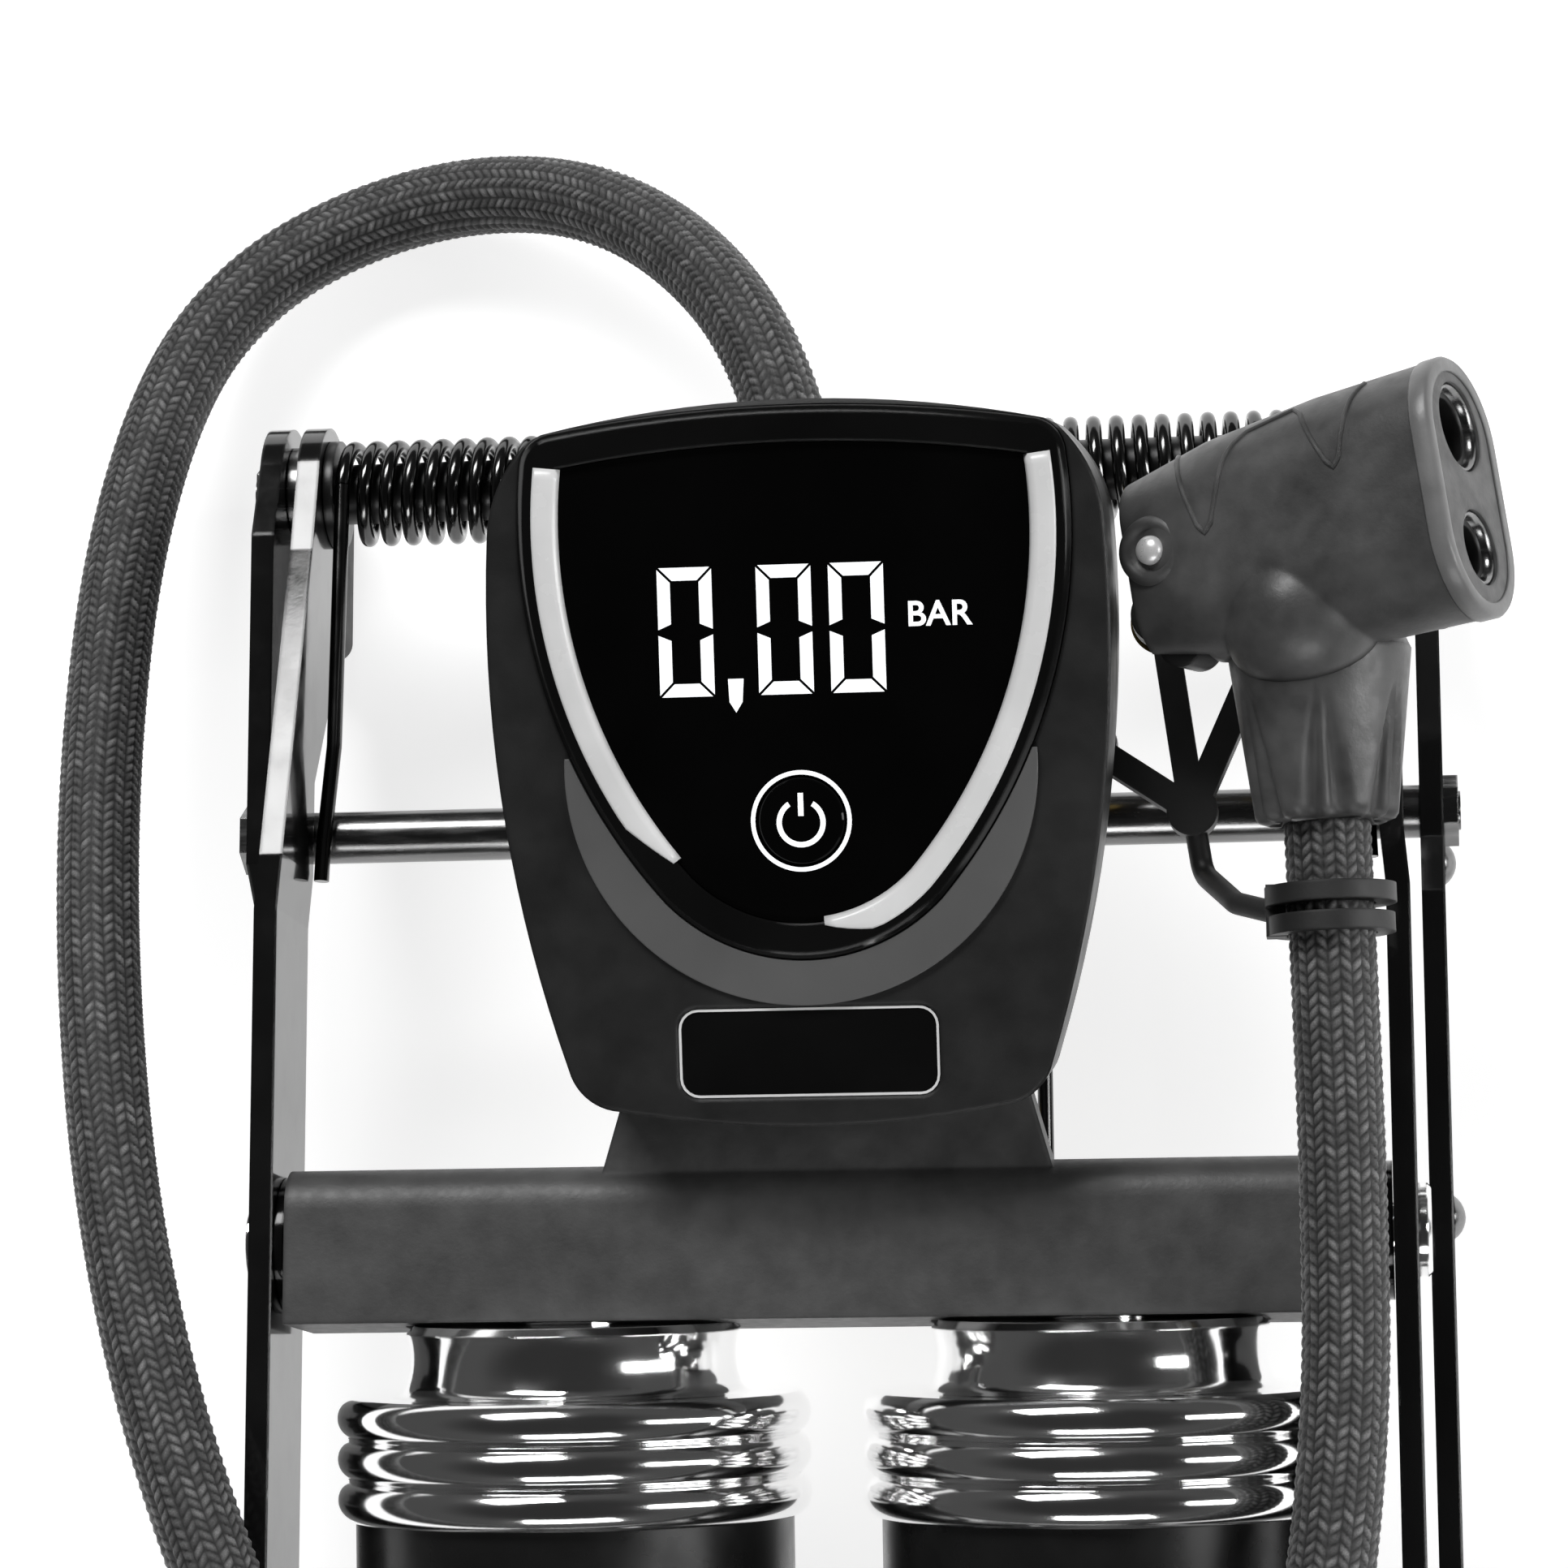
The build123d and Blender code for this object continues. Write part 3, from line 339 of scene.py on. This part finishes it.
def build_hose():
    line, length = even_points(spline_points(HOSE_POINTS), BRAID_CELL / RINGS_PER_CELL)
    around = BRAID_COLUMNS * SAMPLES_PER_COLUMN
    radius = HOSE_D / 2 - BRAID_RELIEF * 0.6
    verts = []
    for i, (p, side, up) in enumerate(frames_along(line)):
        for k in range(around):
            angle = 2 * math.pi * k / around
            lift = radius + BRAID_RELIEF * braid_height(k / SAMPLES_PER_COLUMN, i / RINGS_PER_CELL)
            verts.append(p + (side * math.cos(angle) + up * math.sin(angle)) * lift)
    faces = tube_faces(len(line), around)
    hose = mesh_object("hose_braid", verts, faces)
    uv = hose.data.uv_layers.new(name="UVMap")
    for face_index in range(len(faces) - 2):
        i, k = divmod(face_index, around)
        corners = ((i, k), (i, k + 1), (i + 1, k + 1), (i + 1, k))
        for corner, (row, col) in enumerate(corners):
            uv.data[face_index * 4 + corner].uv = (col / SAMPLES_PER_COLUMN, row / RINGS_PER_CELL)
    return hose, line[::RINGS_PER_CELL], length


def braid_material():
    """Yarn-by-yarn colour of the herringbone weave from the hose's own coordinates: each yarn's own random
    tone, with painted highlights on the yarn crowns and painted shade in the grooves between them.
    """
    n = Nodes("braid")

    def calc(operation, a, b=None):
        node = n.add("ShaderNodeMath", operation=operation)
        for socket, value in zip(node.inputs, (a, b)):
            if value is None:
                continue
            if isinstance(value, (int, float)):
                socket.default_value = value
            else:
                n.join(value, socket)
        return node.outputs[0]

    uv = n.add("ShaderNodeUVMap", uv_map="UVMap").outputs["UV"]
    split = n.add("ShaderNodeSeparateXYZ")
    n.join(uv, split.inputs[0])
    column = calc("FLOOR", split.outputs["X"])
    across = calc("FRACT", split.outputs["X"])
    sign = calc("SUBTRACT", calc("MULTIPLY", calc("MODULO", column, 2), 2), 1)
    slanted = calc("MULTIPLY", calc("MULTIPLY", calc("SUBTRACT", across, 0.5), BRAID_SLANT), sign)
    phase = calc("ADD", split.outputs["Y"], slanted)
    cell = n.add("ShaderNodeCombineXYZ")
    n.join(column, cell.inputs[0])
    n.join(calc("FLOOR", phase), cell.inputs[1])
    random_yarn = n.add("ShaderNodeTexWhiteNoise", noise_dimensions="3D")
    n.join(cell.outputs[0], random_yarn.inputs["Vector"])
    # painted highlight and shade: colour brightest on each yarn's crown, darkest in the grooves between yarns
    ridge = calc("POWER", calc("ABSOLUTE", calc("SINE", calc("MULTIPLY", phase, math.pi))), 1.3)
    light = calc("POWER", random_yarn.outputs["Value"], 1.6)
    # painted shade: darker towards the grooves at the edges of each column
    painted_groove_shade = calc("POWER", calc("SINE", calc("MULTIPLY", across, math.pi)), 0.8)
    thread = n.span(n.noise(5200, 2.0), 0.6, 1.25)
    # painted highlight and shade masks times each yarn's random tone
    yarn = calc("MULTIPLY", calc("MULTIPLY", ridge, painted_groove_shade), calc("ADD", calc("MULTIPLY", light, 0.7), 0.3))
    value = calc("MULTIPLY", yarn, thread)
    # dark grooves to light crowns: painted shade and painted highlight over the yarns' own tone
    n.colours(value, grey(0.004), grey(0.21))
    n.set("Roughness", 0.62)
    n.set("Sheen Weight", 0.25)
    n.bump(n.noise(6000, 2.0), 0.3, 0.00008)
    return n.material


MAT["braid"] = braid_material()
hose, hose_path, hose_length = build_hose()
hose.data.materials.append(MAT["braid"])
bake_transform(hose)
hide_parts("hose")


# ------------------------------------------------------------------ gauge face
GAUGE_TILT = math.radians(12.5)
GAUGE_MIDDLE = (0, 0.098, 0.080)
GAUGE_PLACE = Matrix.Translation(GAUGE_MIDDLE) @ Matrix.Rotation(GAUGE_TILT, 4, "X") @ Matrix.Scale(MM, 4)
KEY = (0.0, -6.2)  # middle of the power key
GLASS_TOP, KEY_TOP = 0.5, 0.7  # heights over the gauge face
MARK = 0.05  # thickness of a printed mark
DIGIT_STROKE = 1.9
DIGIT_GAP = 0.16
DIGIT_LOW, DIGIT_HIGH = 9.0, 25.0
DIGIT_WIDTH = 7.0
DIGIT_LEFTS = (-16.9, -4.8, 4.0)
COMMA = ((-8.4, 11.2), (-8.3, 8.4), (-7.5, 7.1), (-6.7, 8.4), (-6.5, 11.2))
RING_RADII, ICON_RADII = (5.62, 6.15), (2.35, 3.0)
ICON_DROP, ICON_START, ICON_END = 0.2, 122, 418
STEM_HALF, STEM_LOW, STEM_HIGH = 0.33, 0.6, 3.4
LETTER_SIZE, LETTER_BOLD, LETTER_SPACE = 4.25, 0.07, 1.02
LETTER_PLACE = (13.5, 17.0)


def plates(name, outlines, low, material, body, high=None, place=GAUGE_PLACE):
    """Thin flat plates, one for each outline, as one piece."""
    high = low + MARK if high is None else high
    verts, faces = [], []
    for outline in outlines:
        n, start = len(outline), len(verts)
        verts += [place @ Vector((x, y, low)) for x, y in outline]
        verts += [place @ Vector((x, y, high)) for x, y in outline]
        faces.append([start + n + i for i in range(n)])
        faces.append([start + i for i in reversed(range(n))])
        faces += [[start + i, start + (i + 1) % n, start + n + (i + 1) % n, start + n + i] for i in range(n)]
    piece = mesh_object(name, verts, faces, smooth=False)
    return finish_piece(piece, material, body)


def shrink(outline, gap):
    """A convex outline with each side moved inwards."""
    out = []
    n = len(outline)
    for i in range(n):
        before, here, after = (Vector(outline[(i + k) % n]) for k in (-1, 0, 1))
        a, b = (here - before).normalized(), (after - here).normalized()
        inward = Vector((-a.y - b.y, a.x + b.x))
        out.append(tuple(here + inward * gap / max(0.3, inward.length_squared / 2)))
    return out


def digit_zero(left):
    """The six lit strokes of a seven-stroke zero, with mitred ends."""
    right, low, high, t = left + DIGIT_WIDTH, DIGIT_LOW, DIGIT_HIGH, DIGIT_STROKE
    middle = (low + high) / 2
    top = [(left, high), (left + t, high - t), (right - t, high - t), (right, high)]
    side = [(left, high), (left, middle + 0.1), (left + t, middle + 0.9), (left + t, high - t)]
    strokes = [top, side, [(left + right - x, y) for x, y in reversed(side)]]
    strokes += [[(x, low + high - y) for x, y in reversed(stroke)] for stroke in strokes]
    return [shrink(stroke, DIGIT_GAP) for stroke in strokes]


def arc(middle, r, start, end, steps):
    turn = math.radians(end - start) / steps
    first = math.radians(start)
    return [(middle[0] + r * math.cos(first + turn * i), middle[1] + r * math.sin(first + turn * i))
            for i in range(steps + 1)]


def bands(middle, inner, outer, start, end, steps):
    """Short four-cornered outlines that make up an arc of even width."""
    a, b = arc(middle, inner, start, end, steps), arc(middle, outer, start, end, steps)
    return [[a[i], b[i], b[i + 1], a[i + 1]] for i in range(steps)]


def make_display():
    strokes = [stroke for left in DIGIT_LEFTS for stroke in digit_zero(left)]
    plates("display_digits", strokes + [COMMA], GLASS_TOP, MAT["lit"], "cylinders")
    plates("key_ring", bands(KEY, *RING_RADII, 0, 360, 72), GLASS_TOP, MAT["lit"], "cylinders")
    x, y = KEY
    icon = bands((x, y - ICON_DROP), *ICON_RADII, ICON_START, ICON_END, 40)
    icon.append([(x - STEM_HALF, y + STEM_LOW), (x + STEM_HALF, y + STEM_LOW),
                 (x + STEM_HALF, y + STEM_HIGH), (x - STEM_HALF, y + STEM_HIGH)])
    plates("key_icon", icon, KEY_TOP, MAT["lit"], "power_button")
    data = bpy.data.curves.new("unit_letters", "FONT")
    data.body = "BAR"
    data.size, data.extrude, data.offset = LETTER_SIZE, MARK / 2, LETTER_BOLD
    data.space_character = LETTER_SPACE
    holder = link(bpy.data.objects.new("unit_letters_line", data))
    mesh = bpy.data.meshes.new_from_object(holder)
    bpy.data.objects.remove(holder)
    mesh.transform(GAUGE_PLACE @ Matrix.Translation((*LETTER_PLACE, GLASS_TOP + MARK / 2)))
    finish_piece(link(bpy.data.objects.new("unit_letters", mesh)), MAT["lit"], "cylinders")


def three_point_arc(a, b, c, steps):
    """Points on the circle through three points, from the first to the last."""
    ax, ay, bx, by, cx, cy = *a, *b, *c
    d = 2 * (ax * (by - cy) + bx * (cy - ay) + cx * (ay - by))
    sa, sb, sc = ax * ax + ay * ay, bx * bx + by * by, cx * cx + cy * cy
    middle = Vector(((sa * (by - cy) + sb * (cy - ay) + sc * (ay - by)) / d,
                     (sa * (cx - bx) + sb * (ax - cx) + sc * (bx - ax)) / d))
    first, last = Vector(a) - middle, Vector(c) - middle
    turn = first.angle_signed(last)
    halfway = Vector(b) - middle
    if first.angle_signed(halfway) * turn < 0:
        turn -= math.copysign(2 * math.pi, turn)
    out = []
    for i in range(steps + 1):
        t = -turn * i / steps
        out.append((middle.x + first.x * math.cos(t) - first.y * math.sin(t),
                    middle.y + first.x * math.sin(t) + first.y * math.cos(t)))
    return out


FLANK = three_point_arc((28.8, 37.2), (25.4, 7.2), (13.6, -12.8), 40)
POINT = three_point_arc((13.6, -12.8), (0, -18.6), (-13.6, -12.8), 24)
STRIP_PROFILE = ((-0.6, 0.56), (-0.3, 0.9), (0.0, 1.24), (0.5, 1.30), (1.6, 1.32), (2.3, 1.30), (2.6, 1.22))


def reflection_strip(name, line, material, taper=5):
    """Sloping band of painted reflection that follows the window's edge, from the glass up to the frame, thin
    at its ends: pale colour standing in for the studio light mirrored in the dark bevel.
    """
    verts, faces = [], []
    n = len(line)
    for i, p in enumerate(line):
        here = Vector(p)
        ahead, behind = Vector(line[min(i + 1, n - 1)]), Vector(line[max(i - 1, 0)])
        way = (ahead - behind).normalized()
        outward = Vector((-way.y, way.x))
        if outward.dot(here - Vector((0, 12))) < 0:
            outward.negate()
        width = min(1.0, 0.15 + (n - 1 - i) / taper)
        for out, height in STRIP_PROFILE:
            q = here + outward * (out * width if out > 0 else out)
            verts.append(GAUGE_PLACE @ Vector((q.x, q.y, height)))
    row = len(STRIP_PROFILE)
    for i in range(n - 1):
        for k in range(row - 1):
            a = i * row + k
            faces.append((a, a + 1, a + 1 + row, a + row))
    piece = mesh_object(name, verts, faces)
    thicken(piece)
    return finish_piece(piece, material, "cylinders")


# Painted reflections: two pale strips where the studio light mirrors in the window's dark glossy bevel.
def make_window_reflections():
    right = FLANK + POINT[1:11]
    left = [(-x, y) for x, y in FLANK[:-2]]
    reflection_strip("window_reflection_right", right, MAT["trim"])
    reflection_strip("window_reflection_left", left, MAT["trim"], taper=6)


NAMEPLATE_Y = -34.3


def rounded_rectangle(width, height, r, corner_steps=5):
    out = []
    for sx, sy, start in ((1, 1, 0), (-1, 1, 90), (-1, -1, 180), (1, -1, 270)):
        out += arc((sx * (width / 2 - r), sy * (height / 2 - r)), r, start, start + 90, corner_steps)
    return out


def make_nameplate_edge():
    """Fine bright edge round the blank nameplate."""
    a, b = rounded_rectangle(31.2, 10.2, 2.1), rounded_rectangle(31.8, 10.8, 2.4)
    n = len(a)
    edge = [[a[i], b[i], b[(i + 1) % n], a[(i + 1) % n]] for i in range(n)]
    edge = [[(x, y + NAMEPLATE_Y) for x, y in quad] for quad in edge]
    plates("nameplate_edge", edge, -0.3, MAT["trim"], "cylinders", high=-0.12)


make_display()
make_window_reflections()
make_nameplate_edge()


# ------------------------------------------------------------------ chuck
CHUCK_RISE, CHUCK_TURN = math.radians(24), math.radians(8)
CHUCK_AXIS = Vector((math.cos(CHUCK_RISE) * math.cos(CHUCK_TURN), math.cos(CHUCK_RISE) * math.sin(CHUCK_TURN),
                     math.sin(CHUCK_RISE)))
CHUCK_ACROSS = Vector((-math.sin(CHUCK_TURN), math.cos(CHUCK_TURN), 0))
CHUCK_UP = CHUCK_AXIS.cross(CHUCK_ACROSS)
CHUCK_O = Vector((60.5, 126.8, 73.5))
CHUCK_MOUTH = 22.8
HOSE_END = HOSE_POINTS[-1] / MM
HOSE_WAY = (HOSE_POINTS[-1] - HOSE_POINTS[-2]).normalized()


def basis(origin, z, x):
    """Millimetre place with its own axes."""
    x = (x - z * x.dot(z)).normalized()
    y = z.cross(x)
    turn = Matrix((x, y, z)).transposed().to_4x4()
    return Matrix.Scale(MM, 4) @ Matrix.Translation(origin) @ turn


def lathe(name, profile, place, material, body, steps=48):
    """Turned piece from (radius, height) points, capped at both ends."""
    verts = []
    for r, z in profile:
        for k in range(steps):
            angle = 2 * math.pi * k / steps
            verts.append(place @ Vector((r * math.cos(angle), r * math.sin(angle), z)))
    piece = mesh_object(name, verts, tube_faces(len(profile), steps))
    return finish_piece(piece, material, body)


def dome_profile(r, base, height, steps=8):
    return [(r * math.cos(t), base + height * math.sin(t))
            for t in (math.pi / 2 * i / steps * 0.97 for i in range(steps + 1))]


PIN_ALONG, PIN_ACROSS = -16.6, 1.0


def make_chuck_pin():
    """Stepped boss and domed head of the pivot pin, on the chuck's upper side."""
    place = basis(CHUCK_O + CHUCK_AXIS * PIN_ALONG + CHUCK_ACROSS * PIN_ACROSS, CHUCK_UP, CHUCK_AXIS)
    boss = [(4.5, 6.3), (4.3, 7.4), (3.9, 7.8), (3.3, 7.9), (2.9, 7.6), (2.6, 7.2), (2.2, 7.1)]
    lathe("chuck_boss", [(4.5, 5.8)] + boss, place, MAT["cast"], "lever")
    head = [(1.8, 6.6)] + dome_profile(1.8, 7.6, 1.1)
    lathe("chuck_pin_head", head, place, MAT["pale_steel"], "lever")


# (along, length, width)
CHUCK_SECTIONS = ((-20.5, 23, 13), (-9, 28, 17.4), (6, 31, 19), (CHUCK_MOUTH, 32, 19.5))


def chuck_section(along):
    """Half length and half thickness of the chuck body at a distance along it."""
    for (a, la, wa), (b, lb, wb) in zip(CHUCK_SECTIONS, CHUCK_SECTIONS[1:]):
        if along <= b:
            t = (along - a) / (b - a)
            return (la + (lb - la) * t) / 2, (wa + (wb - wa) * t) / 2
    return CHUCK_SECTIONS[-1][1] / 2, CHUCK_SECTIONS[-1][2] / 2


def on_chuck(along, across):
    """Point on the body's upper skin."""
    half_length, half_width = chuck_section(along)
    over = max(0.0, abs(across) - (half_length - half_width))
    height = math.sqrt(max(half_width * half_width - over * over, 0.0))
    return (CHUCK_O + CHUCK_AXIS * along + CHUCK_ACROSS * across + CHUCK_UP * height) * MM


RIB_POINTS = ((-12.6, 12.4), (-11.8, 10.6), (-9.3, 2.2), (-8.4, 1.0), (-7.4, 2.0), (-4.6, 9.6), (-3.6, 11.2),
              (-2.0, 12.4), (4.4, 13.6), (5.6, 12.6), (9.0, 5.4), (9.9, 4.4), (10.8, 5.4), (12.6, 12.6),
              (13.6, 14.6))  # (along, across)
RIB_RADIUS = 0.34
RIB_SIDES = 8
RIB_STEP = 0.5  # between points along the rib


def make_chuck_rib():
    """Raised zig-zag line moulded into the upper side."""
    line = []
    for a, b in zip(RIB_POINTS, RIB_POINTS[1:]):
        steps = max(2, round(math.hypot(b[0] - a[0], b[1] - a[1]) / RIB_STEP))
        line += [on_chuck(a[0] + (b[0] - a[0]) * i / steps, a[1] + (b[1] - a[1]) * i / steps)
                 for i in range(steps)]
    line.append(on_chuck(*RIB_POINTS[-1]))
    verts = []
    for p, side, up in frames_along(line):
        for k in range(RIB_SIDES):
            angle = 2 * math.pi * k / RIB_SIDES
            verts.append(p + (side * math.cos(angle) + up * math.sin(angle)) * RIB_RADIUS * MM)
    rib = mesh_object("chuck_rib", verts, tube_faces(len(line), RIB_SIDES))
    finish_piece(rib, MAT["cast"], "lever")


MOUTHS = (("slim", -1, 3.1), ("wide", 1, 4.0))  # name, side, bore radius
MOUTH_OFFSET = 7.5
MOUTH_RING = 1.55


def make_mouth_rings():
    """Bright stepped rings in the two valve mouths."""
    for name, side, r in MOUTHS:
        place = basis(CHUCK_O + CHUCK_ACROSS * side * MOUTH_OFFSET, CHUCK_AXIS, CHUCK_ACROSS)
        outer, mouth = r + MOUTH_RING, CHUCK_MOUTH
        ring = [(outer, mouth - 3.6), (outer, mouth - 0.5), (outer - 0.45, mouth - 0.25),
                (outer - 0.7, mouth - 0.9), (outer - 0.9, mouth - 1.7), (r + 0.2, mouth - 1.9),
                (r + 0.1, mouth - 3.6)]
        tube_ring("mouth_ring_" + name, ring, place, MAT["zinc"])


def tube_ring(name, profile, place, material, steps=56):
    """Closed ring: the profile goes round and joins its own start."""
    verts, faces = [], []
    n = len(profile)
    for k in range(steps):
        angle = 2 * math.pi * k / steps
        verts += [place @ Vector((r * math.cos(angle), r * math.sin(angle), z)) for r, z in profile]
    for k in range(steps):
        for i in range(n):
            a, b = k * n + i, k * n + (i + 1) % n
            c, d = (k + 1) % steps * n + (i + 1) % n, (k + 1) % steps * n + i
            faces.append((a, b, c, d))
    piece = mesh_object(name, verts, faces)
    return finish_piece(piece, material, "lever")


EDGE_PROFILE = ((0.06, -2.3), (0.14, -2.1), (0.16, -0.2), (-0.1, 0.14), (-1.5, 0.12), (-1.7, 0.04))
EDGE_STEPS = 24


def make_mouth_edge_highlight():
    """Painted highlight round the end face, a paler copy of the body's cast finish: the profile's (outward,
    along) steps run over the body's edge.
    """
    half_length, half_width = chuck_section(CHUCK_MOUTH)
    verts, faces = [], []
    for out, along in EDGE_PROFILE:
        for centre, start in ((half_length - half_width, -90), (half_width - half_length, 90)):
            for x, y in arc((centre, 0), half_width + out, start, start + 180, EDGE_STEPS):
                p = CHUCK_O + CHUCK_AXIS * (CHUCK_MOUTH + along) + CHUCK_ACROSS * x + CHUCK_UP * y
                verts.append(p * MM)
    row = len(verts) // len(EDGE_PROFILE)
    for i in range(len(EDGE_PROFILE) - 1):
        for k in range(row):
            a, b = i * row + k, i * row + (k + 1) % row
            faces.append((a, b, b + row, a + row))
    rim = mesh_object("mouth_edge_highlight", verts, faces)
    thicken(rim)
    finish_piece(rim, MAT["cast_edge"], "lever")


COLLAR_LENGTH = 21.0
COLLAR_THIN, COLLAR_WIDE = 8.6, 11.2
FLUTES = 6
FLUTE_REACH = 0.80
FLUTE_DEPTH = 1.5
FLUTE_NARROW, FLUTE_OPENING = 3.0, 15.0  # degrees: least half width of a groove, and its growth to the hose
FLUTE_EDGE = 1.35  # where a groove ends, in half widths
COLLAR_ROWS, COLLAR_STEPS = 44, 144
COLLAR_BORE = (5.6, 0.9)  # radius and depth of the recess round the hose


def collar_radius(t, angle):
    """Radius of the ferrule at a share of its length: a cone with grooves, each with a low ridge along it."""
    r = COLLAR_THIN + (COLLAR_WIDE - COLLAR_THIN) * t
    open_part = max(0.0, 1 - t / FLUTE_REACH)
    nearest = (angle - math.pi / 2 + math.pi / FLUTES) % (2 * math.pi / FLUTES) - math.pi / FLUTES
    x = abs(nearest) / math.radians(FLUTE_NARROW + FLUTE_OPENING * open_part)
    if x >= FLUTE_EDGE:
        return r
    ridge = 0.45 * math.cos(min(1.0, x / 0.45) * math.pi / 2) ** 2
    groove = math.sin(math.pi * min(1.0, x / FLUTE_EDGE)) ** 1.3
    return r - FLUTE_DEPTH * min(1.0, open_part * 2.2) * max(0.0, groove * 0.95 - ridge * 0.2)


def make_collar():
    """Fluted ferrule: six grooves, wide and deep at the hose, running out towards the chuck."""
    place = basis(HOSE_END, HOSE_WAY, Vector((1, 0, 0)))
    shares = [0.0] + [i / COLLAR_ROWS for i in range(COLLAR_ROWS + 1)]
    verts = []
    for row, t in enumerate(shares):
        for k in range(COLLAR_STEPS):
            angle = 2 * math.pi * k / COLLAR_STEPS
            r = collar_radius(t, angle)
            if row == 0:
                r, z = COLLAR_BORE
            elif row == 1:
                r, z = r - 1.3, 0.0
            elif row == 2:
                r, z = r - 0.35, 0.35
            else:
                z = COLLAR_LENGTH * t
            verts.append(place @ Vector((r * math.cos(angle), r * math.sin(angle), z)))
    faces = tube_faces(len(shares), COLLAR_STEPS)
    collar = mesh_object("collar_fluted", verts, faces)
    finish_piece(collar, MAT["cast"], "lever")
    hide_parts("chuck_collar")
    return collar


make_chuck_pin()
make_chuck_rib()
make_mouth_rings()
make_mouth_edge_highlight()
collar = make_collar()


# ------------------------------------------------------------------ floor and light
FLOOR_GLOW = 0.78
FLOOR_HALF, FLOOR_GAP = 3, 0.0002
FADE_FROM, FADE_TO = 0.45, 0.85  # heights on the surround between which it darkens
WORLD_HORIZON, WORLD_ZENITH = 1.3, 0.56


def make_stage():
    w = FLOOR_HALF
    corners = [(-w, -w, 0), (w, -w, 0), (w, w, 0), (-w, w, 0)]
    floor = mesh_object("floor", corners, [(0, 1, 2, 3)], smooth=False)
    floor.location.z = -FLOOR_GAP
    n = Nodes("floor")
    n.colours(n.span(n.noise(3), 0, 1), grey(0.48), grey(0.50))
    n.set("Roughness", 0.9)
    n.set("Emission Color", (1, 1, 1, 1))
    n.set("Emission Strength", FLOOR_GLOW)
    floor.data.materials.append(n.material)


def area_light(name, place, aim, width, height, power):
    data = bpy.data.lights.new(name, "AREA")
    data.shape = "RECTANGLE"
    data.size, data.size_y, data.energy = width, height, power
    lamp = link(bpy.data.objects.new(name, data))
    lamp.location = place
    lamp.rotation_euler = (Vector(aim) - Vector(place)).to_track_quat("-Z", "Y").to_euler()


def make_world():
    """Studio surround: a dim grey that fades darker overhead. The colour stays the node's own dark grey."""
    world = bpy.data.worlds.new("studio")
    bpy.context.scene.world = world
    world.use_nodes = True
    tree = world.node_tree
    place = tree.nodes.new("ShaderNodeTexCoord")
    split = tree.nodes.new("ShaderNodeSeparateXYZ")
    fade = tree.nodes.new("ShaderNodeMapRange")
    fade.interpolation_type = "SMOOTHSTEP"
    fade.inputs["From Min"].default_value = FADE_FROM
    fade.inputs["From Max"].default_value = FADE_TO
    fade.inputs["To Min"].default_value = WORLD_HORIZON
    fade.inputs["To Max"].default_value = WORLD_ZENITH
    tree.links.new(place.outputs["Generated"], split.inputs[0])
    tree.links.new(split.outputs["Z"], fade.inputs["Value"])
    tree.links.new(fade.outputs["Result"], tree.nodes["Background"].inputs["Strength"])


def make_lights():
    area_light("key", (-0.45, 1.15, 1.25), (0, 0.05, 0.03), 0.9, 0.5, 20)
    area_light("side", (1.3, 0.1, 0.7), (0, 0.05, 0.05), 0.3, 1.0, 10)
    area_light("front", (0.1, -1.2, 0.9), (0, 0.0, 0.05), 1.0, 0.4, 8)


make_stage()
make_world()
make_lights()
bpy.context.scene.view_settings.view_transform = "Standard"
